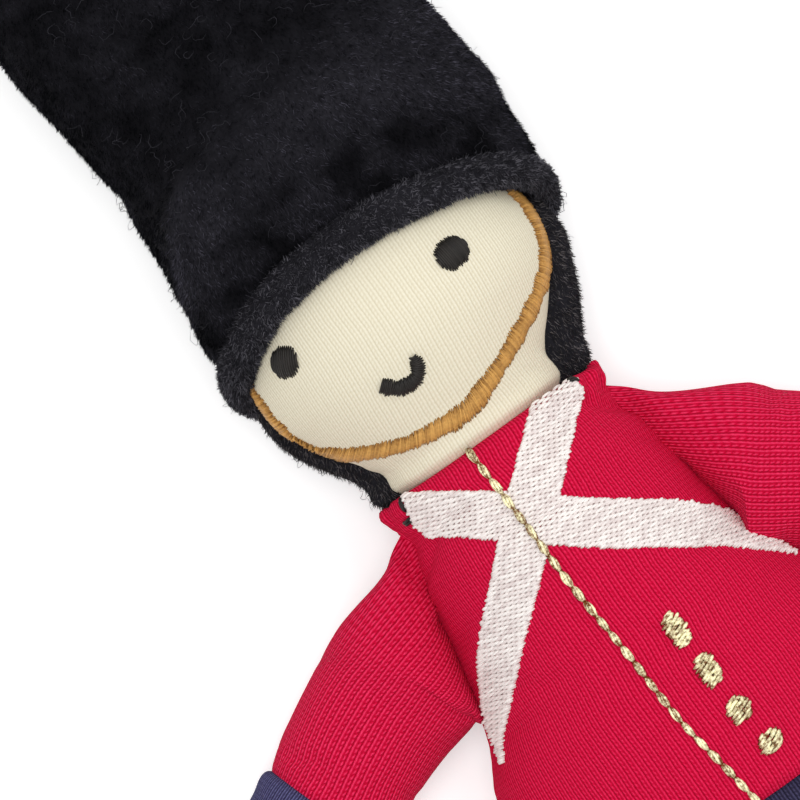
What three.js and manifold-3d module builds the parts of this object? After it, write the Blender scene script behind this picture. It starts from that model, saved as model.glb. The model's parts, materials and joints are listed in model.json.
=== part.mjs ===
// A small stuffed cloth doll in a guard's uniform, lying on its back.
// Millimetres. +Z is the doll's front, +Y runs to its head and +X to its left hand.
// The origin is on the table, under the middle of the jacket's back.

import * as THREE from 'three';
import * as BufferGeometryUtils from 'three/addons/utils/BufferGeometryUtils.js';
import Module from 'manifold-3d';

const wasm = await Module();
wasm.setup();

// Cloth and seams

const gap = 0.3;                 // left between any two pieces
const jersey = 0.9;              // fine cotton knit with its seam allowance
const plush = 1.9;               // short black pile on its backing
const thread = 0.7;              // height of an embroidered patch
const seamHeight = 13;           // side, neck, shoulder and hip seams above the table
const pressed = 0.5;             // how far a stuffed form is flattened by the table
const seamHalf = 0.35;           // half the thickness of a limb where it is sewn shut
const seamRelief = 0.35;         // from the line that a limb bends about to either piece

// Jacket and seat: one stuffed bag, red above the hem and navy below it

const jacketLength = 68;
const seatLength = 24;
const necklineHalf = 19.4;
const shoulderDrop = 5.6;        // from the neck seam to the top of the arm seam
const shoulderHalf = 17.8;
const armSeamDrop = 30.4;        // how far down the jacket the arm seam runs
const armpitHalf = 25.6;
const bellyHalf = 32.2;
const bellyRise = 14;            // the widest line, above the hem
const hemHalf = 31;
const crotchHalf = 25.6;         // the seam that closes the seat
const crotchSwell = 1;           // how much wider the seat is just above that seam
const neckFront = 12.2;
const neckBack = 11.2;
const chestFront = 17;
const bellyFront = 20.5;
const hemFront = 19.5;
const seatFront = 16.5;
const seatHalf = 29.3;           // half way down the seat

// Head

const headHeight = 50;           // neck seam to the top of the skull, inside the hat
const neckHalf = 15.6;
const neckShift = -1.2;          // the neck leans a little to the doll's right
const neckLength = 4;
const cheekHalf = 25.3;
const cheekHeight = 23;
const faceSeamHeight = 15;
const cheekFront = 20.5;
const cheekBack = 11.4;
const napeProud = 3.8;           // how far the plush stands out beside the neck
const hairProud = 1.9;           // and beside the cheeks

// Hat

const hatTop = 118;              // above the neck seam
const brimTilt = 26;             // degrees: the brim is lower at the back of the head
const brimFrontHeight = 33;      // lower edge of the brim over the forehead
const brimHeight = 7.2;
const brimThickness = 3.8;
const brimSlack = 1.8;           // the hat stands off the head on the doll's left
const hatDepth = 42;
const hatBaseDepth = 37.4;       // where the crown stands on the brim
const hatWaistDepth = 39;
const hatHemLap = 22;            // how far the crown's form runs on below the brim, to be cut there
const hatHemRise = 1;            // and how much lower it gets there
const skullLap = 12;             // the hat's filling starts below the top of the skull

// The crown in plan: how far it reaches to the doll's right and to its left
const crownBelow = { right: 27.6, left: 30.2 };
const crownBrim = { right: 28.4, left: 31.2 };
const crownFoot = { right: 27.6, left: 31.6 };
const crownLow = { right: 26.2, left: 31.7 };
const crownMiddle = { right: 25.7, left: 29.6 };
const crownWaist = { right: 26.6, left: 28.8 };
const crownHigh = { right: 29, left: 30.2 };

// Arms

const sleeveLength = 32;
const sleeveHalf = 11.6;
const sleeveEndHalf = 10.5;
const armHalfDepth = 9.2;
const armBow = 1.4;
const cuffLength = 8.5;
const cuffEndHalf = 9.7;
const cuffProud = 0.5;
const handLength = 14;
const handHalf = 9;
const wristHalf = 8.4;
const rightArmDroop = 22;        // degrees below a line square to the body
const leftArmDroop = 34;
const armSwell = 17;             // how soon past the seam an arm is fully round

// Legs

const legLength = 60;            // crotch seam to the sole
const legHalf = 11.4;
const legGap = 2.4;
const ankleHalf = 9.6;
const legHalfDepth = 9.8;
const legSwell = 17;
const bootHeight = 21;
const bootToe = 6.5;             // how far the toe stands forward of the leg
const toeHalf = 10.4;
const soleRound = 5;             // how much of the boot's length curves in to the sole

// How far the seams bend, in degrees, each way from rest

const nodForward = 10;
const nodBack = 8;

// Embroidery, placed from the neck seam

const eyeHalfWidth = 2.4;
const eyeHalfHeight = 2.7;
const rightEye = { x: -18.9, up: 26.1, lean: -18 };
const leftEye = { x: 10.9, up: 25.3, lean: 0 };
const mouthHalf = 1.1;
const strapHalf = 1.15;
const placketHalf = 0.75;
const buttonHalfWidth = 1.75;
const buttonHalfHeight = 2.8;
const buttonPitch = 7.3;
const firstButton = { x: 6.4, down: 40.4 };
const buttonDrift = 0.55;        // the row leans outwards as it goes down
const buttonCount = 4;

// Levels along Y, from the middle of the jacket

const neckY = jacketLength / 2;
const hemY = -jacketLength / 2;
const crotchY = hemY - seatLength;
const armSeamTopY = neckY - shoulderDrop;
const armpitY = armSeamTopY - armSeamDrop;
const bellyY = hemY + bellyRise;
const floorDrop = seamHeight + pressed;

// Colours

const black = 0x16161a;
const cream = 0xeee7cf;
const red = 0xcc163f;
const navy = 0x23253f;
const navyCuff = 0x363a64;
const white = 0xede4de;
const gold = 0xd9c47a;
const tan = 0xc5985a;
const wadding = 0xf2f0ea;
const ink = 0x23211e;

const group = new THREE.Group();

function cloth(color, roughness = 0.95) {
  return new THREE.MeshStandardMaterial({ color, roughness, metalness: 0 });
}

// Solids

function toSolid(geometry) {
  const bare = geometry.index ? geometry.toNonIndexed() : geometry.clone();
  bare.deleteAttribute('normal');
  bare.deleteAttribute('uv');
  const merged = BufferGeometryUtils.mergeVertices(bare, 1e-5);
  return new wasm.Manifold(new wasm.Mesh({
    numProp: 3,
    vertProperties: new Float32Array(merged.attributes.position.array),
    triVerts: new Uint32Array(merged.index.array),
  }));
}

function addPart(name, solid, material) {
  const mesh = solid.getMesh();
  const geometry = new THREE.BufferGeometry();
  geometry.setAttribute('position', new THREE.BufferAttribute(mesh.vertProperties, 3));
  geometry.setIndex(new THREE.BufferAttribute(mesh.triVerts, 1));
  geometry.computeVertexNormals();
  const part = new THREE.Mesh(geometry, material);
  part.name = name;
  group.add(part);
}

// A block that keeps only one side of a plane: the side that the normal points to.
function halfSpace(point, normal) {
  const size = 1000;
  const block = new THREE.BoxGeometry(size, size, size);
  block.translate(0, 0, size / 2);
  const turn = new THREE.Quaternion().setFromUnitVectors(
    new THREE.Vector3(0, 0, 1), new THREE.Vector3(...normal).normalize());
  block.applyQuaternion(turn);
  block.translate(...point);
  return toSolid(block);
}

const above = (z) => halfSpace([0, 0, z], [0, 0, 1]);
const below = (z) => halfSpace([0, 0, z], [0, 0, -1]);
const table = above(0);

const farBelow = -20;            // past every form, for outlines that cut right through
const farAbove = 80;

function prism(outline, low = farBelow, high = farAbove) {
  const shape = new THREE.Shape(outline.map(([x, y]) => new THREE.Vector2(x, y)));
  const geometry = new THREE.ExtrudeGeometry(shape, { depth: high - low, bevelEnabled: false });
  geometry.translate(0, 0, low);
  return toSolid(geometry);
}

// Stuffed forms. A ring is one section: its two edge points in plan, the height of the seam
// there, and how far the front stands above that seam and the back hangs below it.

const fields = ['leftX', 'leftY', 'rightX', 'rightY', 'seam', 'front', 'back'];

// A curve through the values that never swings past them.
function smooth(places, values, at) {
  const count = places.length;
  const slopes = [];
  for (let i = 0; i < count - 1; i++) {
    slopes.push((values[i + 1] - values[i]) / (places[i + 1] - places[i]));
  }
  const tangents = values.map((_, i) => {
    if (i === 0) return slopes[0];
    if (i === count - 1) return slopes[count - 2];
    const before = slopes[i - 1];
    const after = slopes[i];
    return before * after <= 0 ? 0 : (2 * before * after) / (before + after);
  });
  let i = 0;
  while (i < count - 2 && at > places[i + 1]) i += 1;
  const width = places[i + 1] - places[i];
  const t = (at - places[i]) / width;
  const rise = values[i + 1] - values[i];
  const bendA = tangents[i] * width;
  const bendB = tangents[i + 1] * width;
  return values[i] + bendA * t + (3 * rise - 2 * bendA - bendB) * t * t
    + (bendA + bendB - 2 * rise) * t * t * t;
}

// Rings through stations, with some extra rings in each space between them.
function makeRings(stations, extra = 1) {
  const places = stations.map((station) => station.at);
  const rings = [];
  for (let i = 0; i < places.length - 1; i++) {
    for (let step = 0; step <= extra; step++) {
      rings.push(places[i] + ((places[i + 1] - places[i]) * step) / (extra + 1));
    }
  }
  rings.push(places.at(-1));
  return rings.map((at) => {
    const ring = { at };
    for (const field of fields) ring[field] = smooth(places, stations.map((s) => s[field]), at);
    return ring;
  });
}

function section(at, centreX, half, seam, front, back) {
  return {
    at, leftX: centreX - half, leftY: at, rightX: centreX + half, rightY: at, seam, front, back,
  };
}

const leastHalf = 0.5;

function halfOf(ring) {
  return Math.hypot(ring.rightX - ring.leftX, ring.rightY - ring.leftY) / 2;
}

// The same form, grown outwards by an amount, or shrunk by a negative one. An open end keeps
// its place, and rings that would be too thin are left out.
function grow(rings, amount, open = { start: false, end: false }) {
  const slope = (i, measure) => {
    const a = Math.max(0, i - 1);
    const b = Math.min(rings.length - 1, i + 1);
    const run = Math.hypot(
      rings[b].leftX + rings[b].rightX - rings[a].leftX - rings[a].rightX,
      rings[b].leftY + rings[b].rightY - rings[a].leftY - rings[a].rightY) / 2;
    return Math.min(1.6, Math.abs(measure(rings[b]) - measure(rings[a])) / Math.max(run, 1e-3));
  };
  const grown = rings.map((ring, i) => {
    const half = halfOf(ring);
    const wider = (half + amount * Math.hypot(1, slope(i, halfOf))) / half;
    const midX = (ring.leftX + ring.rightX) / 2;
    const midY = (ring.leftY + ring.rightY) / 2;
    return {
      at: ring.at,
      leftX: midX + (ring.leftX - midX) * wider,
      leftY: midY + (ring.leftY - midY) * wider,
      rightX: midX + (ring.rightX - midX) * wider,
      rightY: midY + (ring.rightY - midY) * wider,
      seam: ring.seam,
      front: ring.front + amount * Math.hypot(1, slope(i, (r) => r.seam + r.front)),
      back: ring.back + amount * Math.hypot(1, slope(i, (r) => r.seam - r.back)),
      wider,
    };
  });
  const slide = (end, inner) => {
    const dx = end.leftX + end.rightX - inner.leftX - inner.rightX;
    const dy = end.leftY + end.rightY - inner.leftY - inner.rightY;
    const reach = amount / Math.hypot(dx, dy);
    for (const side of ['left', 'right']) {
      end[`${side}X`] += dx * reach;
      end[`${side}Y`] += dy * reach;
    }
  };
  if (amount >= 0) {
    if (!open.start) slide(grown[0], grown[1]);
    if (!open.end) slide(grown.at(-1), grown.at(-2));
    return grown;
  }
  const first = rings[0];
  const last = rings.at(-1);
  return grown.filter((ring) => {
    const clear = (end) => Math.hypot(
      ring.leftX + ring.rightX - end.leftX - end.rightX,
      ring.leftY + ring.rightY - end.leftY - end.rightY) / 2 > -amount;
    return ring.wider > 0 && halfOf(ring) > leastHalf && ring.front > leastHalf
      && ring.back > leastHalf && (open.start || clear(first)) && (open.end || clear(last));
  });
}

// Skin round the rings. The powers pinch the section towards its seam: 1 is an ellipse.
function loft(rings, segments, frontPower = 1, backPower = 1) {
  const positions = [];
  const index = [];
  for (const ring of rings) {
    for (let i = 0; i < segments; i++) {
      const angle = (2 * Math.PI * i) / segments;
      const share = (1 + Math.cos(angle)) / 2;
      const rise = Math.sin(angle);
      const depth = rise > 0 ? ring.front * rise ** frontPower : -ring.back * (-rise) ** backPower;
      positions.push(
        ring.leftX + (ring.rightX - ring.leftX) * share,
        ring.leftY + (ring.rightY - ring.leftY) * share,
        ring.seam + depth);
    }
  }
  for (let r = 0; r < rings.length - 1; r++) {
    for (let i = 0; i < segments; i++) {
      const a = r * segments + i;
      const b = r * segments + ((i + 1) % segments);
      index.push(a, b, b + segments, a, b + segments, a + segments);
    }
  }
  const top = (rings.length - 1) * segments;
  for (let i = 1; i < segments - 1; i++) {
    index.push(0, i + 1, i, top, top + i, top + i + 1);
  }
  let volume = 0;
  const corner = (k) => new THREE.Vector3().fromArray(positions, 3 * k);
  for (let k = 0; k < index.length; k += 3) {
    volume += corner(index[k]).dot(corner(index[k + 1]).cross(corner(index[k + 2])));
  }
  if (volume < 0) index.reverse();
  return new wasm.Manifold(new wasm.Mesh({
    numProp: 3,
    vertProperties: new Float32Array(positions),
    triVerts: new Uint32Array(index),
  }));
}

// Torso: jacket and seat are the front and back of one bag, open at the neck

const past = 6;                  // how far an open form runs on past its cut end
const bodyPowers = [1.7, 1.35];
const bodySegments = 20;
const seamZ = seamHeight;

function bodySection(y, half, front, back, centreX = 0) {
  return section(y, centreX, half, seamZ, front, back);
}

const bodyRings = makeRings([
  bodySection(neckY + past, necklineHalf, neckFront, neckBack, neckShift / 2),
  bodySection(neckY, necklineHalf, neckFront, neckBack, neckShift / 2),
  bodySection(armSeamTopY, shoulderHalf, (neckFront + chestFront) / 2, floorDrop),
  bodySection((armSeamTopY + armpitY) / 2, (shoulderHalf + armpitHalf) / 2, chestFront, floorDrop),
  bodySection(armpitY, armpitHalf, (chestFront + bellyFront) / 2, floorDrop),
  bodySection(bellyY, bellyHalf, bellyFront, floorDrop),
  bodySection(hemY, hemHalf, hemFront, floorDrop),
  bodySection(hemY - seatLength * 0.4, seatHalf, seatFront, floorDrop),
  bodySection(hemY - seatLength * 0.75, crotchHalf + crotchSwell, seatFront * 0.62, floorDrop * 0.8),
  bodySection(crotchY, crotchHalf, seamHalf, seamHalf),
].reverse());

const openNeck = { start: false, end: true };
const bodyLoft = (amount) => loft(grow(bodyRings, amount, openNeck), bodySegments, ...bodyPowers);

// The neck is a shallow V on both sides of its seam, so that the head can nod.
function neckSide(direction, extra = 0) {
  const lift = direction * (gap / 2 + extra);
  const frontLean = Math.tan(THREE.MathUtils.degToRad(nodForward / 2 + 1));
  const backLean = Math.tan(THREE.MathUtils.degToRad(nodBack / 2 + 1));
  const front = halfSpace([0, neckY + lift, seamZ], [0, direction, -frontLean]);
  const back = halfSpace([0, neckY + lift, seamZ], [0, direction, backLean]);
  return front.intersect(back);
}

const bodyForm = loft(bodyRings, bodySegments, ...bodyPowers);
const bodySkin = bodyForm.subtract(bodyLoft(-jersey)).intersect(table).intersect(neckSide(-1));
const jacketSide = halfSpace([0, hemY + gap / 2, 0], [0, 1, 0]);
const seatSide = halfSpace([0, hemY - gap / 2, 0], [0, -1, 0]);
const frontSide = above(seamZ + gap / 2);
const backSide = below(seamZ - gap / 2);

addPart('jacket_front', bodySkin.intersect(jacketSide).intersect(frontSide), cloth(red));
addPart('jacket_back', bodySkin.intersect(jacketSide).intersect(backSide), cloth(red));
addPart('trousers_front', bodySkin.intersect(seatSide).intersect(frontSide), cloth(navy));
addPart('trousers_back', bodySkin.intersect(seatSide).intersect(backSide), cloth(navy));
addPart('body_filling', bodyLoft(-jersey - gap).intersect(neckSide(-1)), cloth(wadding));

// Head: a cream face sewn to a black plush back, both over one filling

const headSegments = 20;
const headPowers = [1.15, 1];

// Half width and depth grow from the neck to the cheeks as a quarter sine, then close as a dome.
function headSpread(up, atNeck, atCheek) {
  if (up <= neckLength) return atNeck;
  if (up <= cheekHeight) {
    const t = (up - neckLength) / (cheekHeight - neckLength);
    return atNeck + (atCheek - atNeck) * Math.sin((Math.PI / 2) * t);
  }
  const t = (up - cheekHeight) / (headHeight - cheekHeight);
  return atCheek * Math.sqrt(Math.max(0, 1 - t * t));
}

function headSection(up, proud = 0) {
  const t = Math.min(1, Math.max(0, up) / cheekHeight);
  const seam = seamZ + (faceSeamHeight - seamZ) * t;
  return section(
    neckY + up, neckShift * (1 - t * 0.7), headSpread(up, neckHalf, cheekHalf) + proud, seam,
    headSpread(up, neckFront, cheekFront), headSpread(up, neckBack, cheekBack));
}

// The hair stands out beside the face, most at the nape, and lies flat under the brim.
function hairSection(up) {
  const underBrim = cheekHeight + brimHeight / 2;
  if (up >= underBrim) return headSection(up);
  if (up >= cheekHeight) {
    return headSection(up, (hairProud * (underBrim - up)) / (underBrim - cheekHeight));
  }
  const t = Math.max(0, up) / cheekHeight;
  return headSection(up, napeProud + (hairProud - napeProud) * t);
}

function headRings(sectionAt) {
  const jaw = (t) => neckLength + (cheekHeight - neckLength) * t;
  const dome = (t) => cheekHeight + (headHeight - cheekHeight) * t;
  const heights = [
    -past, 0, neckLength, jaw(0.2), jaw(0.45), jaw(0.72), cheekHeight,
    dome(0.15), dome(0.4), dome(0.65), dome(0.85), dome(0.95), dome(0.99),
  ];
  return heights.map((up) => sectionAt(up));
}

const openStart = { start: true, end: false };
const faceRings = headRings(headSection);
const hairRings = headRings(hairSection);
const faceLoft = (amount) => loft(grow(faceRings, amount, openStart), headSegments, ...headPowers);
const hairLoft = (amount) => loft(grow(hairRings, amount, openStart), headSegments, ...headPowers);

// The face and the hair meet on a plane that follows the seam from the neck up to the cheek.
const seamRise = Math.atan2(faceSeamHeight - seamZ, cheekHeight);
const seamLift = [0, -Math.sin(seamRise), Math.cos(seamRise)];
const seamDip = seamLift.map((value) => -value);
const seamPlane = (lift) => [0, neckY, seamZ + lift];
const faceSide = halfSpace(seamPlane(gap / 2), seamLift);
const hairSide = halfSpace(seamPlane(-gap / 2), seamDip);
const headEnd = neckSide(1);

const faceSkin = faceLoft(0).subtract(faceLoft(-jersey)).intersect(faceSide).intersect(headEnd);
const hairSkin = hairLoft(0).subtract(hairLoft(-plush)).intersect(hairSide).intersect(headEnd);
const faceFilling = faceLoft(-jersey - gap).intersect(halfSpace(seamPlane(-0.1), seamLift));
const hairFilling = hairLoft(-plush - gap).intersect(halfSpace(seamPlane(0.1), seamDip));

addPart('head_face', faceSkin, cloth(cream));
addPart('head_filling', faceFilling.add(hairFilling).intersect(headEnd), cloth(wadding));

// Hat: a rolled brim round the forehead, and a tall crown that stands on it

const tilt = THREE.MathUtils.degToRad(brimTilt);
const brimNormal = [0, Math.cos(tilt), -Math.sin(tilt)];
const foreheadZ = faceSeamHeight + cheekFront;

// Points round the head on the plane of the brim, a distance outside its cloth.
function brimPoint(angle, level, outside) {
  let z = foreheadZ;
  let x = 0;
  let y = neckY;
  for (let pass = 0; pass < 12; pass++) {
    y = neckY + level - (foreheadZ - z) * Math.tan(tilt);
    const ring = headSection(y - neckY);
    const slack = outside + (brimSlack * (1 + Math.cos(angle))) / 2;
    x = (ring.leftX + ring.rightX) / 2 + (halfOf(ring) + slack) * Math.cos(angle);
    const reach = (Math.sin(angle) > 0 ? ring.front : ring.back) + outside;
    z = ring.seam + reach * Math.sin(angle);
  }
  return new THREE.Vector3(x, y, z);
}

// The roll is an oval tube. It can be grown outwards, to clear what it presses on.
function brimRoll(extra = 0) {
  const around = 28;
  const sides = 8;
  const middle = brimFrontHeight + brimHeight / 2;
  const half = brimThickness / 2;
  const centre = [];
  for (let i = 0; i < around; i++) {
    centre.push(brimPoint((2 * Math.PI * i) / around, middle, gap + half));
  }
  const up = new THREE.Vector3(...brimNormal);
  const tall = (brimHeight * Math.cos(tilt)) / 2;
  const positions = [];
  const index = [];
  for (let i = 0; i < around; i++) {
    const along = centre[(i + 1) % around].clone().sub(centre[(i + around - 1) % around]);
    const out = along.cross(up).normalize();
    for (let k = 0; k < sides; k++) {
      const turn = (2 * Math.PI * (k + 0.5)) / sides;
      const point = centre[i].clone()
        .addScaledVector(out, (half / Math.cos(Math.PI / sides) + extra) * Math.cos(turn))
        .addScaledVector(up, (tall + extra) * Math.sin(turn));
      positions.push(...point.toArray());
      const a = i * sides + k;
      const b = i * sides + ((k + 1) % sides);
      const c = ((i + 1) % around) * sides + k;
      const d = ((i + 1) % around) * sides + ((k + 1) % sides);
      index.push(a, c, d, a, d, b);
    }
  }
  const roll = new wasm.Manifold(new wasm.Mesh({
    numProp: 3,
    vertProperties: new Float32Array(positions),
    triVerts: new Uint32Array(index),
  }));
  if (roll.volume() > 0) return roll;
  index.reverse();
  return new wasm.Manifold(new wasm.Mesh({
    numProp: 3,
    vertProperties: new Float32Array(positions),
    triVerts: new Uint32Array(index),
  }));
}

const hatSegments = 20;
const hatPowers = [1.1, 1];
const hatSeam = hatDepth / 2 - pressed;
const hatRound = hatDepth / 10;  // half the depth of the crown's very end

// One section of the crown: its reach to either side, its highest point and its lowest one.
function hatSection(up, reach, top, bottom = -pressed) {
  const middle = (reach.left - reach.right) / 2;
  const half = (reach.left + reach.right) / 2;
  return section(neckY + up, middle, half, hatSeam, top - hatSeam, hatSeam - bottom);
}

// The same towards the rounded top, where width and depth draw in by a share.
function domeSection(height, width, depth) {
  const reach = { right: crownHigh.right * width, left: crownHigh.left * width };
  const top = hatSeam + (hatWaistDepth - hatSeam) * depth;
  return hatSection(hatTop * height, reach, top, hatSeam - (hatSeam + pressed) * depth);
}

const crownRings = makeRings([
  hatSection(brimFrontHeight - hatHemLap, crownBelow, hatBaseDepth - 2 * hatHemRise),
  hatSection(brimFrontHeight, crownBrim, hatBaseDepth - hatHemRise),
  hatSection(brimFrontHeight + brimHeight, crownFoot, hatBaseDepth),
  hatSection(hatTop * 0.42, crownLow, (hatDepth * 3 + hatWaistDepth) / 4),
  hatSection(hatTop * 0.54, crownMiddle, hatDepth),
  hatSection(hatTop * 0.66, crownWaist, hatWaistDepth),
  hatSection(hatTop * 0.82, crownHigh, (hatDepth + 2 * hatWaistDepth) / 3),
  domeSection(0.91, 0.94, 0.96),
  domeSection(0.965, 0.75, 0.76),
  domeSection(0.99, 0.49, 0.5),
  hatSection(hatTop, { right: crownHigh.right * 0.2, left: crownHigh.left * 0.22 },
    hatSeam + hatRound, hatSeam - hatRound),
], 0);

const crownLoft = (amount) => loft(grow(crownRings, amount, openStart), hatSegments, ...hatPowers);
const brimTop = brimFrontHeight + brimHeight + gap;
const crownSide = halfSpace([0, neckY + brimTop, foreheadZ], brimNormal);
const headClear = faceLoft(gap).add(hairLoft(gap));
const skullY = neckY + headHeight;
const hatFillingStart = halfSpace([0, skullY - skullLap, 0], [0, 1, 0]);
const brim = brimRoll().intersect(table).subtract(headClear);
const crown = crownLoft(0).subtract(crownLoft(-plush)).intersect(crownSide).intersect(table);

addPart('head_back', hairSkin.subtract(brimRoll(gap)), cloth(black));
addPart('hat_brim', brim, cloth(black));
addPart('hat_crown', crown.subtract(headClear), cloth(black));
addPart('hat_filling',
  crownLoft(-plush - gap).intersect(hatFillingStart).intersect(crownSide).subtract(headClear),
  cloth(wadding));

// Embroidery: a patch lies on a form, under an outline drawn in plan

function patch(outline, loftOf, low, high, floor) {
  return prism(outline).intersect(loftOf(high)).subtract(loftOf(low)).intersect(above(floor));
}

function oval(x, y, halfWidth, halfHeight, lean = 0) {
  const turn = THREE.MathUtils.degToRad(lean);
  const points = [];
  const count = 14;
  for (let i = 0; i < count; i++) {
    const angle = (2 * Math.PI * i) / count;
    const across = halfWidth * Math.cos(angle);
    const along = halfHeight * Math.sin(angle);
    points.push([
      x + across * Math.cos(turn) - along * Math.sin(turn),
      y + across * Math.sin(turn) + along * Math.cos(turn),
    ]);
  }
  return points;
}

// A band along a smooth line in plan. Each point is across, up from the neck seam, half width.
function band(points, steps) {
  const line = new THREE.CatmullRomCurve3(
    points.map(([x, up]) => new THREE.Vector3(x, neckY + up, 0)), false, 'centripetal');
  const left = [];
  const right = [];
  for (let i = 0; i <= steps; i++) {
    const t = i / steps;
    const place = line.getPoint(t);
    const along = line.getTangent(t);
    const slot = Math.min(points.length - 2, Math.floor(t * (points.length - 1)));
    const share = t * (points.length - 1) - slot;
    const half = points[slot][2] * (1 - share) + points[slot + 1][2] * share;
    left.push([place.x - along.y * half, place.y + along.x * half]);
    right.push([place.x + along.y * half, place.y - along.x * half]);
  }
  return [...left, ...right.reverse()];
}

const low = gap;
const high = gap + thread;
const faceFloor = faceSeamHeight + 1;
const onFace = (outline) => patch(outline, faceLoft, low, high, faceFloor);

for (const [name, eye] of [['eye_right', rightEye], ['eye_left', leftEye]]) {
  const outline = oval(eye.x, neckY + eye.up, eyeHalfWidth, eyeHalfHeight, eye.lean);
  addPart(name, onFace(outline), cloth(ink, 0.6));
}

const smile = [[-8.1, 14.4], [-7.2, 13], [-5.5, 12], [-4, 12.8], [-2.8, 15]];
addPart('mouth', onFace(band(smile.map((p) => [...p, mouthHalf]), 10)), cloth(ink, 0.6));

// The chin strap runs from the brim at one cheek, under the mouth, to the brim at the other.
const strap = [
  [-25.2, 20], [-24.6, 16], [-22.8, 12.6], [-19.6, 10.2], [-15, 7.8], [-9.5, 5.7],
  [-2, 4.9], [4.5, 6.4], [11.5, 9.4], [17.5, 12.6], [21.8, 15.9], [24.1, 20], [24.6, 25],
];
const strapBand = band(strap.map((p) => [...p, strapHalf]), 30);
addPart('chin_strap', onFace(strapBand).subtract(brimRoll(gap)), cloth(tan, 0.7));

// Cross belts: the first runs whole, the second is stitched up to it from both sides.
const beltCrossing = 13.7;
const rightBelt = [
  [-16.5, 2, 3.2], [-11.8, -5.6, 3.7], [-2.2, -beltCrossing, 3.8], [6.6, -20.8, 3.7],
  [16, -27.4, 3.5], [22.6, -33.2, 2.7], [26.2, -38.6, 1], [27.2, -40.6, 0.4],
];
const leftBelt = [
  [12.6, 2, 3.2], [6.2, -6.2, 3.7], [-2.2, -beltCrossing, 3.8], [-9.4, -20.4, 3.7],
  [-17.6, -28, 3.3], [-22.8, -34.6, 2.2], [-25.4, -40.6, 0.5],
];
const widened = (belt) => belt.map(([x, up, half]) => [x, up, half + gap]);
const beltFloor = seamZ + 2;
const neckEdge = neckSide(-1, 0.1);
function onJacket(outline, top = high, floor = beltFloor) {
  return patch(outline, bodyLoft, low, top, floor).intersect(neckEdge);
}
const beltSteps = 16;
const crossing = neckY - beltCrossing;

// The belts stop short of the shoulder seams and of the neck corners above them.
const seamIn = 1.5;
const seamSlope = (armpitHalf - shoulderHalf) / armSeamDrop;
const chestEdge = (side) => [
  [side * (shoulderHalf - seamIn), neckY + past],
  [side * (shoulderHalf - seamIn), armSeamTopY],
  [side * (shoulderHalf - seamIn + seamSlope * (armSeamTopY - hemY)), hemY],
];
const chest = prism([...chestEdge(-1), ...chestEdge(1).reverse()]);
const firstBelt = onJacket(band(rightBelt, beltSteps)).intersect(chest);
const secondBelt = onJacket(band(leftBelt, beltSteps)).intersect(chest)
  .subtract(prism(band(widened(rightBelt), beltSteps)));

addPart('cross_belt_right', firstBelt, cloth(white, 0.7));
addPart('cross_belt_left_upper',
  secondBelt.intersect(halfSpace([0, crossing, 0], [0, 1, 0])), cloth(white, 0.7));
addPart('cross_belt_left_lower',
  secondBelt.intersect(halfSpace([0, crossing, 0], [0, -1, 0])), cloth(white, 0.7));

// The gold chain line lies over the belts where they cross.
// Each point is across, and a share of the way down to the hem.
const placket = [
  [-3.7, -0.015], [-3.1, 0.18], [-2.8, 0.35], [-1.8, 0.56], [-1.1, 0.74], [0.3, 0.88], [1.9, 1],
];
const placketBand = band(
  placket.map(([x, share]) => [x, -share * jacketLength, placketHalf]), 18);
const overBelts = high + gap + thread;
const underPlacket = band(widened(rightBelt), beltSteps);
const underPlacketToo = band(widened(leftBelt), beltSteps);
const beltRoom = prism(underPlacket).add(prism(underPlacketToo)).intersect(bodyLoft(high + gap));
addPart('gold_placket', onJacket(placketBand, overBelts).subtract(beltRoom).intersect(jacketSide),
  cloth(gold, 0.35));

for (let i = 0; i < buttonCount; i++) {
  const x = firstButton.x + buttonDrift * i;
  const y = neckY - firstButton.down - buttonPitch * i;
  addPart(`button_${i + 1}`, onJacket(oval(x, y, buttonHalfWidth, buttonHalfHeight)), cloth(gold, 0.35));
}

// Black thread that closes the neck corners of the jacket, outside the belts
const stitchHalf = 0.5;
const stitchDrop = 3;
const stitchFloor = seamZ + 0.8;
for (const [name, side] of [['corner_stitch_right', -1], ['corner_stitch_left', 1]]) {
  const x = side * (shoulderHalf - seamIn + gap + stitchHalf);
  const outline = oval(x, neckY - stitchDrop, stitchHalf, stitchHalf * 3);
  addPart(name, onJacket(outline, high, stitchFloor), cloth(ink, 0.7));
}

// Arms: a sleeve, a cuff and a mitten hand over one filling, pinched flat at the shoulder seam

const limbSegments = 12;

function limbSection(at, centre, across, half, seam, front, back) {
  return {
    at,
    leftX: centre[0] - across[0] * half,
    leftY: centre[1] - across[1] * half,
    rightX: centre[0] + across[0] * half,
    rightY: centre[1] + across[1] * half,
    seam, front, back,
  };
}

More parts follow.
